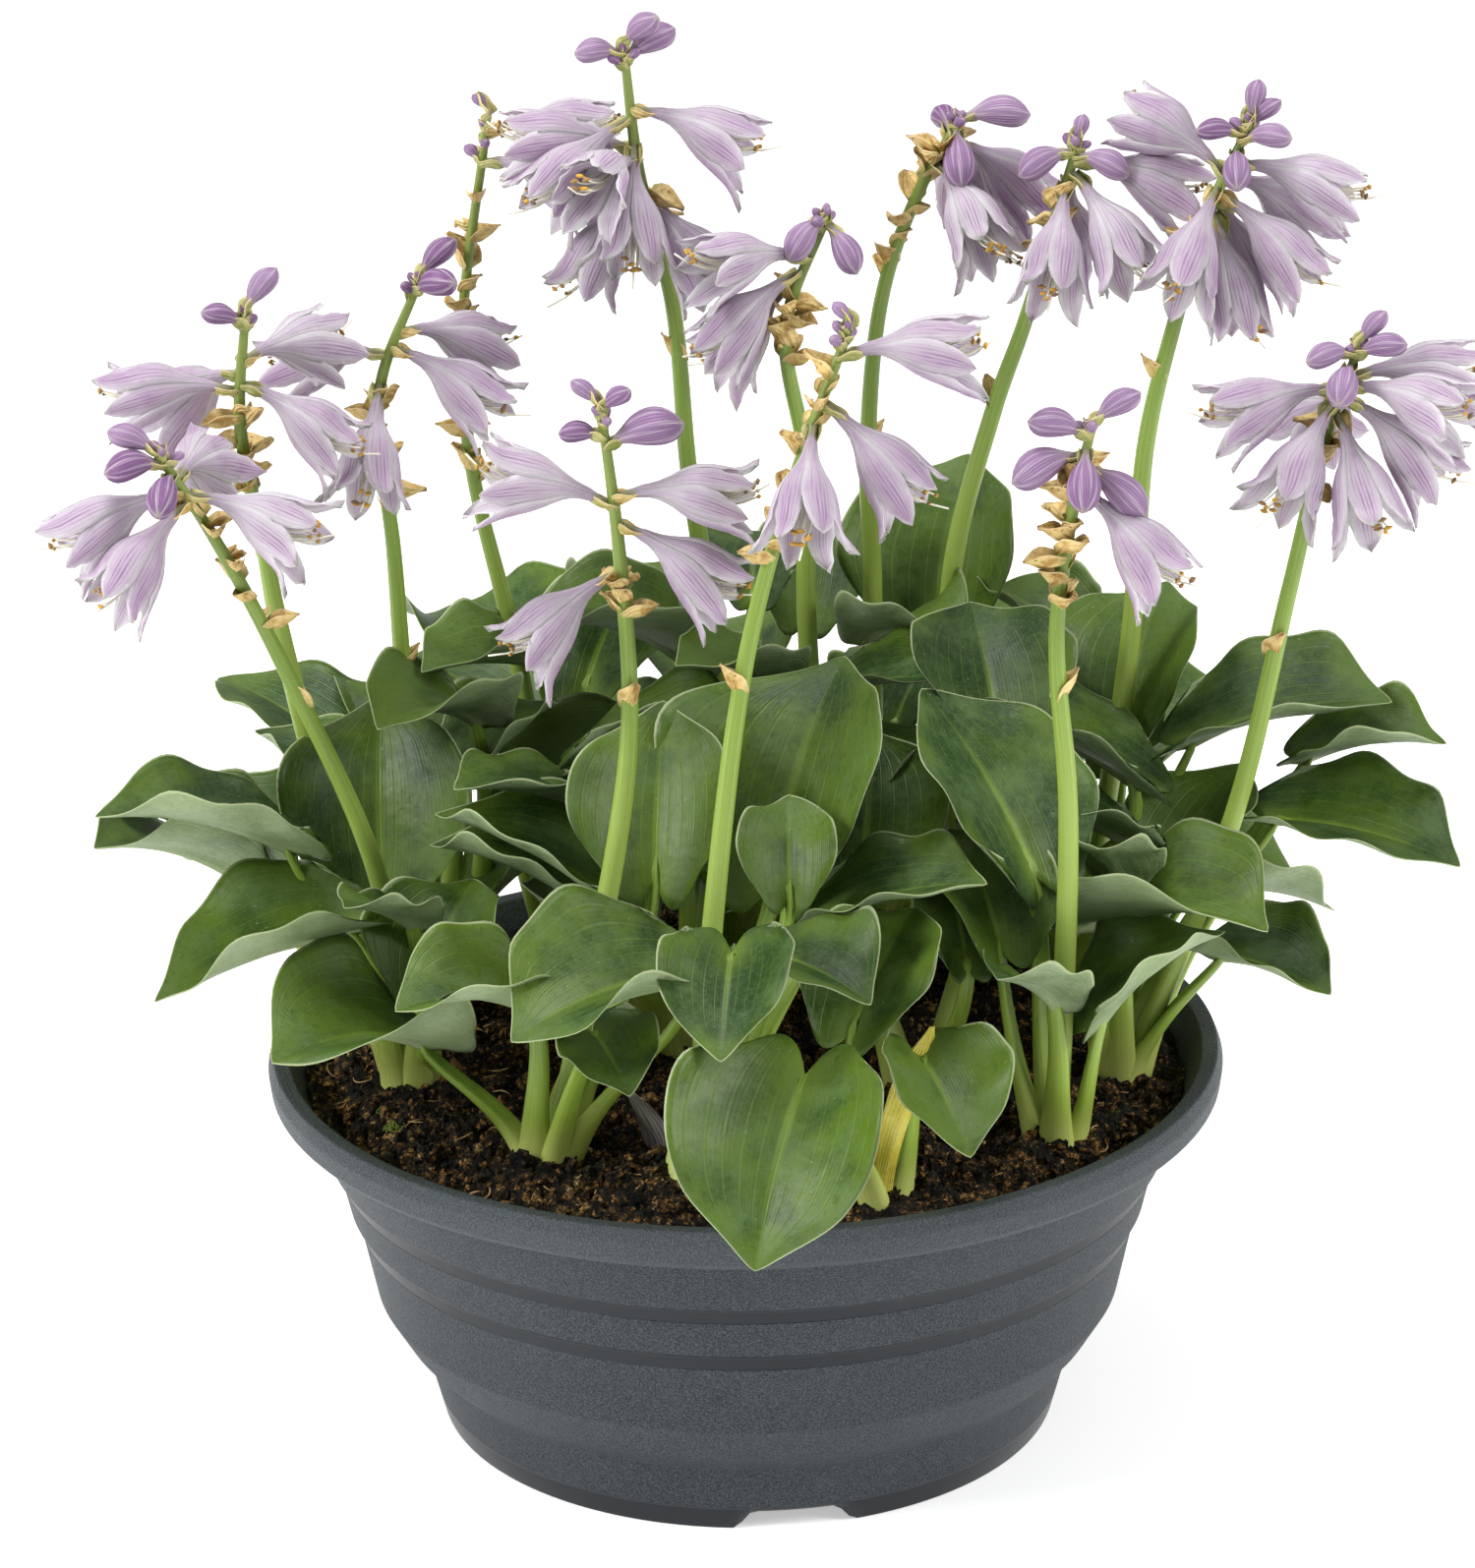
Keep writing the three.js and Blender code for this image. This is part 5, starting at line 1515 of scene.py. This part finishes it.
def leaf_finish(name, deep, fresh, bloom, vein, margin, roughness, vein_share, bump_strength):
    """A waxy leaf: clouded green under a grey bloom, with sunk veins and a thin pale margin."""
    tree = new_material(name, roughness, Specular_IOR_Level=0.3)
    across, along, edge = place_node(tree)
    beside = maths(tree, "ABSOLUTE", across)
    tone = tone_node(tree)
    cloudy = ramp(tree, noise(tree, 26, 5), 0.3, 0.7, -0.1, 0.75)
    mix = maths(tree, "MULTIPLY_ADD", tone, 0.7, cloudy, clamp=True)
    mix = maths(tree, "ADD", mix, ramp(tree, edge, 1.0, 17.0, 0.22, -0.14))
    colour = blend(tree, ramp(tree, mix, 0.2, 1.0), deep, fresh)
    waxy = ramp(tree, noise(tree, 48, 6, 0.68), 0.40, 0.72, 0.0, 0.6)
    colour = blend(tree, waxy, colour, bloom)
    colour = blend(tree, ramp(tree, noise(tree, 34, 5, 0.65), 0.52, 0.72, 0.0, 0.4), colour, deep)
    colour = blend(tree, ramp(tree, noise(tree, 620, 3, 0.7), 0.42, 0.66, 0.0, 0.3), colour, bloom)
    colour = blend(tree, ramp(tree, noise(tree, 410, 3, 0.7), 0.54, 0.7, 0.0, 0.35), colour, deep)
    fine = stripes(tree, across, 24.0, 2.0)
    colour = blend(tree, maths(tree, "MULTIPLY", fine, 0.05), colour, vein)
    veins = stripes(tree, across, VEINS, 26.0)
    veins = maths(tree, "MULTIPLY", veins, ramp(tree, noise(tree, 22, 3), 0.36, 0.62, 0.15, 1.0))
    faded = maths(tree, "MULTIPLY", veins, ramp(tree, edge, 1.0, 9.0, 0.0, vein_share))
    colour = blend(tree, faded, colour, vein)
    centre = ramp(tree, beside, 0.01, 0.07, 1, 0)
    midrib = maths(tree, "MULTIPLY", centre, ramp(tree, along, 0.0, 0.9, 0.75, 0.05))
    colour = blend(tree, midrib, colour, vein)
    near_foot = ramp(tree, along, 0.0, 0.4, 0.6, 0.0)
    throat = maths(tree, "MULTIPLY", near_foot, ramp(tree, beside, 0.03, 0.4, 1, 0))
    colour = blend(tree, throat, colour, vein)
    colour = blend(tree, ramp(tree, edge, 0.25, 0.8, 0.75, 0.0), colour, margin)
    flecks = ramp(tree, noise(tree, 900, 2), 0.70, 0.78, 0.0, 0.5)
    colour = blend(tree, flecks, colour, margin)
    paint(tree, colour)
    ridged = maths(tree, "ADD", maths(tree, "MULTIPLY", veins, -0.4), maths(tree, "MULTIPLY", fine, -0.08))
    height = maths(tree, "ADD", ridged, maths(tree, "MULTIPLY", noise(tree, 350, 4), 0.6))
    height = maths(tree, "MULTIPLY_ADD", noise(tree, 75, 2), 3.0, height)
    bump(tree, height, bump_strength, 0.0007)
    tree.links.new(ramp(tree, waxy, 0, 0.5, roughness, roughness + 0.12), tree.surface.inputs["Roughness"])
    return tree.material


def stalk_finish():
    """A leaf stalk: nearly white at its foot, soiled there, and greener upwards, with fine streaks."""
    tree = new_material("stalk", 0.4, Specular_IOR_Level=0.4)
    along, inner = place_node(tree)[1:]
    foot = (0.64, 0.69, 0.20)
    middle = (0.25, 0.38, 0.035)
    upper = (0.12, 0.22, 0.018)
    colour = blend(tree, ramp(tree, along, 0.1, 0.36), foot, middle)
    colour = blend(tree, ramp(tree, along, 0.35, 0.95), colour, upper)
    colour = blend(tree, ramp(tree, tone_node(tree), 0, 1, 0.0, 0.35), colour, (0.32, 0.43, 0.07))
    streaked = ramp(tree, streaks(tree, (7, 2, 7)), 0.4, 0.68, 0, 0.4)
    colour = blend(tree, streaked, colour, (0.44, 0.53, 0.11))
    colour = blend(tree, maths(tree, "MULTIPLY", inner, 0.3), colour, (0.14, 0.24, 0.03))
    soiled = maths(tree, "MULTIPLY", ramp(tree, along, 0.02, 0.1, 0.5, 0), noise(tree, 500, 4))
    colour = blend(tree, soiled, colour, (0.16, 0.11, 0.04))
    paint(tree, colour)
    bump(tree, streaks(tree, (11, 1.5, 11)), 0.35, 0.0004)
    return tree.material


def scape_finish():
    """A flower stem: yellow-green, streaked and flecked, and a little duller at its head."""
    tree = new_material("flower_stem", 0.4, Specular_IOR_Level=0.4)
    along = place_node(tree)[1]
    colour = blend(tree, ramp(tree, along, 0.05, 0.55), (0.32, 0.43, 0.075), (0.165, 0.265, 0.03))
    colour = blend(tree, ramp(tree, along, 0.55, 0.95), colour, (0.165, 0.22, 0.04))
    streaked = ramp(tree, streaks(tree, (6, 4, 6)), 0.4, 0.7, 0, 0.4)
    colour = blend(tree, streaked, colour, (0.37, 0.46, 0.13))
    flecks = ramp(tree, noise(tree, 1100, 2), 0.66, 0.75, 0.0, 0.4)
    colour = blend(tree, flecks, colour, (0.42, 0.47, 0.25))
    paint(tree, colour)
    bump(tree, streaks(tree, (9, 3, 9)), 0.3, 0.0004)
    return tree.material


def tepal_finish(name, pale, violet, rim, throat, foot, stripe_share, tint):
    """Thin lilac tepals: a violet band and veins along the middle, and a whitish edge."""
    tree = new_material(
        name, 0.5, Specular_IOR_Level=0.3,
        Subsurface_Weight=0.6, Subsurface_Scale=0.002, Subsurface_Radius=(1.0, 0.86, 1.0))
    across, along, edge = place_node(tree)
    beside = maths(tree, "ABSOLUTE", across)
    clouds = ramp(tree, noise(tree, 90, 4), 0.42, 0.75, 0.0, 0.25)
    clouded = maths(tree, "MULTIPLY_ADD", tone_node(tree), tint, clouds)
    colour = blend(tree, clouded, pale, violet)
    band = ramp(tree, beside, 0.1, 0.8, 1, 0)
    band = maths(tree, "MULTIPLY", band, ramp(tree, along, 0.3, 0.8, 0.35, 0.9))
    fine = stripes(tree, across, 4.5, 2.2)
    hair = stripes(tree, across, 11.0, 1.5)
    drawn = maths(tree, "MULTIPLY_ADD", fine, 0.7, maths(tree, "MULTIPLY", hair, 0.3))
    uneven = ramp(tree, streaks(tree, (5, 3, 0), 4), 0.3, 0.65, 0.25, 1.3)
    drawn = maths(tree, "MULTIPLY", drawn, uneven)
    lines = maths(tree, "MULTIPLY", band, maths(tree, "MULTIPLY_ADD", drawn, 0.95, 0.16), clamp=True)
    colour = blend(tree, maths(tree, "MULTIPLY", lines, stripe_share), colour, violet)
    colour = blend(tree, ramp(tree, edge, 0.1, 1.8, 0.55, 0), colour, rim)
    colour = blend(tree, ramp(tree, along, 0.94, 1.0, 0, 0.4), colour, (0.45, 0.40, 0.33))
    colour = blend(tree, ramp(tree, along, 0.16, 0.42, 0.55, 0), colour, throat)
    colour = blend(tree, ramp(tree, along, 0.1, 0.19, 0.85, 0), colour, foot)
    paint(tree, colour)
    bump(tree, maths(tree, "ADD", drawn, noise(tree, 420, 4)), 0.45, 0.0005)
    return tree.material


def bud_finish():
    """Violet clubs, palest along their seams and striped with dark veins."""
    tree = new_material("bud", 0.45, Specular_IOR_Level=0.4)
    around, along, _ = place_node(tree)
    centred = maths(tree, "SUBTRACT", around, 0.5)
    from_middle = maths(tree, "ABSOLUTE", centred)
    colour = blend(tree, tone_node(tree), (0.15, 0.07, 0.165), (0.33, 0.23, 0.35))
    pale = ramp(tree, from_middle, 0.12, 0.42, 0, 0.75)
    colour = blend(tree, pale, colour, (0.56, 0.48, 0.56))
    fine = stripes(tree, centred, 6.0, 1.4)
    grown = ramp(tree, along, 0.15, 0.5, 0.2, 0.75)
    colour = blend(tree, maths(tree, "MULTIPLY", fine, grown), colour, (0.19, 0.075, 0.22))
    colour = blend(tree, ramp(tree, along, 0.1, 0.4, 0.8, 0), colour, (0.34, 0.27, 0.30))
    colour = blend(tree, ramp(tree, along, 0.05, 0.2, 0.7, 0), colour, (0.24, 0.26, 0.10))
    colour = blend(tree, ramp(tree, along, 0.92, 1.0, 0, 0.5), colour, (0.42, 0.38, 0.30))
    paint(tree, colour)
    bump(tree, fine, 0.4, 0.0005)
    return tree.material


def bract_finish():
    """Scales that are papery and tan where their flower is spent, and yellow-green where it is fresh."""
    tree = new_material("bract", 0.6, Specular_IOR_Level=0.3)
    across, along, edge = place_node(tree)
    dry = blend(tree, ramp(tree, noise(tree, 230, 4), 0.3, 0.62), (0.40, 0.22, 0.05), (0.76, 0.57, 0.24))
    fresh = blend(tree, ramp(tree, noise(tree, 200, 3), 0.3, 0.7), (0.24, 0.27, 0.06), (0.52, 0.51, 0.22))
    colour = blend(tree, ramp(tree, tone_node(tree), 0.38, 0.7), dry, fresh)
    colour = blend(tree, ramp(tree, edge, 0.0, 0.6, 0.5, 0), colour, (0.78, 0.62, 0.33))
    colour = blend(tree, ramp(tree, along, 0.82, 1.0, 0, 0.5), colour, (0.30, 0.15, 0.05))
    colour = blend(tree, ramp(tree, along, 0.0, 0.3, 0.5, 0), colour, (0.30, 0.33, 0.10))
    paint(tree, colour)
    lines = stripes(tree, across, 4.0, 1.5)
    bump(tree, maths(tree, "ADD", lines, noise(tree, 600, 3)), 0.6, 0.0006)
    return tree.material


def withered_finish():
    """A dead leaf, yellow with brown patches."""
    tree = new_material("withered_leaf", 0.5, Specular_IOR_Level=0.4)
    across = place_node(tree)[0]
    faded = ramp(tree, noise(tree, 110, 4), 0.35, 0.65)
    colour = blend(tree, faded, (0.62, 0.52, 0.02), (0.84, 0.74, 0.14))
    browned = ramp(tree, noise(tree, 160, 4), 0.6, 0.75, 0, 0.6)
    colour = blend(tree, browned, colour, (0.30, 0.15, 0.04))
    lines = stripes(tree, across, 5.0, 2.0)
    colour = blend(tree, maths(tree, "MULTIPLY", lines, 0.3), colour, (0.85, 0.76, 0.40))
    paint(tree, colour)
    bump(tree, lines, 0.6, 0.0006)
    return tree.material


def sheath_finish():
    """A papery dry sheath with dark and whitish streaks along it."""
    tree = new_material("dry_sheath", 0.4, Specular_IOR_Level=0.4)
    streaked = ramp(tree, streaks(tree, (9, 1.2, 0), 4), 0.36, 0.64)
    colour = blend(tree, streaked, (0.10, 0.085, 0.085), (0.52, 0.49, 0.52))
    colour = blend(tree, ramp(tree, noise(tree, 260, 4), 0.55, 0.75, 0, 0.5), colour, (0.34, 0.24, 0.13))
    paint(tree, colour)
    bump(tree, streaked, 0.6, 0.0006)
    return tree.material


def plain_finish(name, dark, light, roughness):
    """A small part's finish, between two colours by its tone and a fine mottling."""
    tree = new_material(name, roughness, Specular_IOR_Level=0.3)
    mottled = maths(tree, "MULTIPLY", noise(tree, 400), 0.4)
    mix = maths(tree, "MULTIPLY_ADD", tone_node(tree), 0.7, mottled, clamp=True)
    paint(tree, blend(tree, mix, dark, light))
    return tree.material


# Colour of the painted shade in the gaps between soil grains, near black
GAP_SHADE = (0.002, 0.0015, 0.001)


def soil_finish(name, loose):
    """Damp peat: packed grains, most dark, some rusty and a few pale, with painted shade, near black, in the
    gaps between them.
    """
    tree = new_material(name, 0.85, Specular_IOR_Level=0.3)
    coarse = placed(tree, "packed_grains", Scale=330.0)
    fine = placed(tree, "packed_grains", Scale=860.0)
    mixed = maths(tree, "MULTIPLY_ADD", coarse["Tone"], 0.5, maths(tree, "MULTIPLY", fine["Tone"], 0.5))
    if loose:
        mixed = maths(tree, "MULTIPLY_ADD", tone_node(tree), 0.55, maths(tree, "MULTIPLY", mixed, 0.5))
    patchy = ramp(tree, noise(tree, 70, 4, 0.7), 0.36, 0.64, -0.2, 0.16)
    mixed = maths(tree, "ADD", mixed, patchy)
    colour = blend(tree, ramp(tree, mixed, 0.22, 0.60), (0.012, 0.009, 0.005), (0.165, 0.098, 0.035))
    colour = blend(tree, ramp(tree, mixed, 0.50, 0.74, 0, 0.9), colour, (0.58, 0.28, 0.06))
    colour = blend(tree, ramp(tree, mixed, 0.8, 0.9, 0, 0.9), colour, (0.72, 0.52, 0.25))
    # Painted shade: the gaps between the coarse grains, then those between the fine grains, are darkened
    # towards near black
    deep = maths(tree, "MULTIPLY", ramp(tree, coarse["Gap"], 0.34, 0.62), 0.9)
    colour = blend(tree, deep, colour, GAP_SHADE)
    fine_gap_shade = maths(tree, "MULTIPLY", ramp(tree, fine["Gap"], 0.35, 0.7), 0.75)
    colour = blend(tree, fine_gap_shade, colour, GAP_SHADE)
    paint(tree, colour)
    depth = maths(tree, "MULTIPLY_ADD", coarse["Gap"], -1.0, maths(tree, "MULTIPLY", fine["Gap"], -0.6))
    bump(tree, maths(tree, "ADD", depth, maths(tree, "MULTIPLY", noise(tree, 1500, 3), 0.5)), 1.0, 0.003)
    return tree.material


# Heights on the pot, in metres: where its smooth foot ends, its smooth bands, and where its rim begins
FOOT_SMOOTH = (0.0085, 0.0100)
SMOOTH_BANDS = ((0.0984, 0.1046), (0.0775, 0.0841))
BAND_EDGE = 0.0004
RIM_EDGE = (0.1288, 0.1296)


def pot_finish():
    """Slate grey moulded plastic: pebbled on its walls, and smooth and darker on its bands and foot, partly
    for the smooth plastic and partly as painted shade of the sunk, down-facing bands.
    """
    tree = new_material("pot_plastic", 0.5, Specular_IOR_Level=0.28)
    coordinates = tree.nodes.new("ShaderNodeTexCoord")
    split = tree.nodes.new("ShaderNodeSeparateXYZ")
    tree.links.new(coordinates.outputs["Object"], split.inputs[0])
    height = split.outputs["Z"]
    smooth = ramp(tree, height, *FOOT_SMOOTH, 1, 0)
    for low, high in SMOOTH_BANDS:
        above = ramp(tree, height, low - BAND_EDGE, low)
        below = ramp(tree, height, high, high + BAND_EDGE, 1, 0)
        smooth = maths(tree, "MAXIMUM", smooth, maths(tree, "MULTIPLY", above, below))
    grainy = maths(tree, "SUBTRACT", 1.0, smooth)
    cells = tree.nodes.new("ShaderNodeTexVoronoi")
    cells.feature = "SMOOTH_F1"
    cells.inputs["Scale"].default_value = 1500
    cells.inputs["Smoothness"].default_value = 0.5
    tree.links.new(coordinates.outputs["Object"], cells.inputs["Vector"])
    uneven = maths(tree, "MULTIPLY", noise(tree, 1900, 3), 0.8)
    pebble = maths(tree, "ADD", cells.outputs["Distance"], uneven)
    cloudy = noise(tree, 16, 5)
    colour = blend(tree, ramp(tree, cloudy, 0.3, 0.7), (0.012, 0.017, 0.021), (0.019, 0.025, 0.030))
    # Bands and foot painted near black: partly the darker smooth plastic, partly painted shade where the
    # bands sit sunk under steps of the wall
    colour = blend(tree, maths(tree, "MULTIPLY", smooth, 0.9), colour, (0.006, 0.009, 0.012))
    raised = maths(tree, "MULTIPLY", grainy, ramp(tree, pebble, 0.5, 1.05, 0.9, 0.0))
    colour = blend(tree, raised, colour, (0.078, 0.094, 0.107))
    rim = ramp(tree, height, *RIM_EDGE, 0.0, 0.28)
    colour = blend(tree, rim, colour, (0.10, 0.115, 0.12))
    dusty = ramp(tree, noise(tree, 45, 5, 0.7), 0.58, 0.8, 0.0, 0.08)
    colour = blend(tree, dusty, colour, (0.30, 0.29, 0.27))
    paint(tree, colour)
    bump(tree, maths(tree, "MULTIPLY", pebble, grainy), 0.9, 0.0007)
    tree.links.new(ramp(tree, smooth, 0, 1, 0.5, 0.36), tree.surface.inputs["Roughness"])
    return tree.material


LEAF_MARGIN = (0.42, 0.48, 0.26)


def make_finishes():
    """Every finish by name, once the effects that they share are built."""
    make_parallel_lines()
    make_mottling()
    make_streaks()
    make_packed_grains()
    return SimpleNamespace(
        leaf_top=leaf_finish(
            "leaf_top", deep=(0.007, 0.031, 0.003), fresh=(0.073, 0.128, 0.008), bloom=(0.083, 0.140, 0.044),
            vein=(0.16, 0.25, 0.03), margin=LEAF_MARGIN, roughness=0.42, vein_share=0.22, bump_strength=0.4),
        leaf_under=leaf_finish(
            "leaf_under", deep=(0.145, 0.21, 0.09), fresh=(0.22, 0.29, 0.13), bloom=(0.33, 0.40, 0.26),
            vein=(0.30, 0.36, 0.18), margin=LEAF_MARGIN, roughness=0.55, vein_share=0.5, bump_strength=0.6),
        stalk=stalk_finish(),
        scape=scape_finish(),
        tepal_inside=tepal_finish(
            "tepal_inside", pale=(0.54, 0.52, 0.54), violet=(0.27, 0.14, 0.29), rim=(0.62, 0.60, 0.62),
            throat=(0.74, 0.73, 0.62), foot=(0.70, 0.70, 0.45), stripe_share=0.85, tint=0.05),
        tepal_outside=tepal_finish(
            "tepal_outside", pale=(0.47, 0.42, 0.47), violet=(0.20, 0.085, 0.22), rim=(0.58, 0.54, 0.58),
            throat=(0.33, 0.22, 0.34), foot=(0.26, 0.27, 0.12), stripe_share=0.9, tint=0.22),
        bud=bud_finish(),
        bract=bract_finish(),
        filament=plain_finish("filament", (0.76, 0.72, 0.64), (0.80, 0.77, 0.60), 0.4),
        anther=plain_finish("anther", (0.06, 0.045, 0.07), (0.62, 0.34, 0.03), 0.6),
        fibre=plain_finish("fibre", (0.12, 0.05, 0.015), (0.60, 0.40, 0.17), 0.8),
        sheath=sheath_finish(),
        withered=withered_finish(),
        moss=plain_finish("moss_green", (0.06, 0.095, 0.012), (0.20, 0.26, 0.04), 0.7),
        soil=soil_finish("soil", loose=False),
        crumb=soil_finish("crumb", loose=True),
        pot=pot_finish(),
    )


# Camera, light and floor, in metres and watts: a lamp is its name, place, width and power
LAMPS = [
    ("left", (-2.0, -0.9, 1.5), 1.1, 54),
    ("right", (2.0, -0.8, 1.4), 1.1, 38),
    ("above", (-0.3, 0.3, 2.6), 1.3, 46),
]
LAMP_AIM = (0, 0, 0.25)
SKY_STRENGTH = 0.38
FLOOR_REACH = 9.0
FLOOR_GLOW = 0.44


def make_camera():
    """The camera at the photograph's angle."""
    lens = bpy.data.cameras.new("camera")
    lens.sensor_width = SENSOR
    lens.lens = FOCAL_PIXELS / PHOTO_LONG_SIDE * SENSOR
    lens.clip_end = 50
    camera = bpy.data.objects.new("camera", lens)
    bpy.context.collection.objects.link(camera)
    down = math.radians(VIEW_DOWN)
    aim = Vector((VIEW_SIDEWAYS, 0, VIEW_HEIGHT)) + Vector(POT_AXIS / 1000)
    camera.location = aim + VIEW_DISTANCE * Vector((0, -math.cos(down), math.sin(down)))
    tilted = Matrix.Rotation(math.radians(90) - down, 3, "X")
    rolled = Matrix.Rotation(math.radians(VIEW_ROLL), 3, "Z")
    camera.rotation_euler = (tilted @ rolled).to_euler()
    bpy.context.scene.camera = camera


def make_lamp(name, place, size, power):
    """A round soft lamp turned towards the plant's middle."""
    light = bpy.data.lights.new(name, "AREA")
    light.shape = "DISK"
    light.size = size
    light.energy = power
    lamp = bpy.data.objects.new(name, light)
    lamp.location = place
    lamp.rotation_euler = (Vector(LAMP_AIM) - Vector(place)).to_track_quat("-Z", "Y").to_euler()
    bpy.context.collection.objects.link(lamp)


def make_studio():
    """Three soft lamps, a white sky and a white floor."""
    for lamp in LAMPS:
        make_lamp(*lamp)
    world = bpy.data.worlds.new("studio")
    world.use_nodes = True
    sky = world.node_tree.nodes["Background"].inputs
    sky["Color"].default_value = (1, 1, 1, 1)
    sky["Strength"].default_value = SKY_STRENGTH
    bpy.context.scene.world = world
    bpy.context.scene.view_settings.view_transform = "Standard"
    tree = new_material("floor", 0.9, Specular_IOR_Level=0.1)
    tree.surface.inputs["Base Color"].default_value = (0.93, 0.93, 0.93, 1)
    tree.surface.inputs["Emission Color"].default_value = (1, 1, 1, 1)
    tree.surface.inputs["Emission Strength"].default_value = FLOOR_GLOW
    mesh = bpy.data.meshes.new("floor")
    far = FLOOR_REACH
    mesh.from_pydata([(-far, -far, 0), (far, -far, 0), (far, far, 0), (-far, far, 0)], [], [(0, 1, 2, 3)])
    mesh.materials.append(tree.material)
    floor = bpy.data.objects.new("floor", mesh)
    bpy.context.collection.objects.link(floor)


def main():
    """Makes every piece."""
    make_camera()
    make_studio()
    finishes = make_finishes()
    make_pot(finishes.pot)
    strew_crumbs(make_soil(finishes), finishes.crumb)
    make_fibres(finishes.fibre)
    make_withered(finishes)
    make_moss(finishes.moss)
    leaves = grown_leaves()
    leaves += young_leaves(leaves)
    for number, shoot in enumerate(SHOOTS):
        make_shoot(shoot, number, leaves, finishes)
        if "scape" in shoot:
            make_head(shoot, number, finishes)


main()
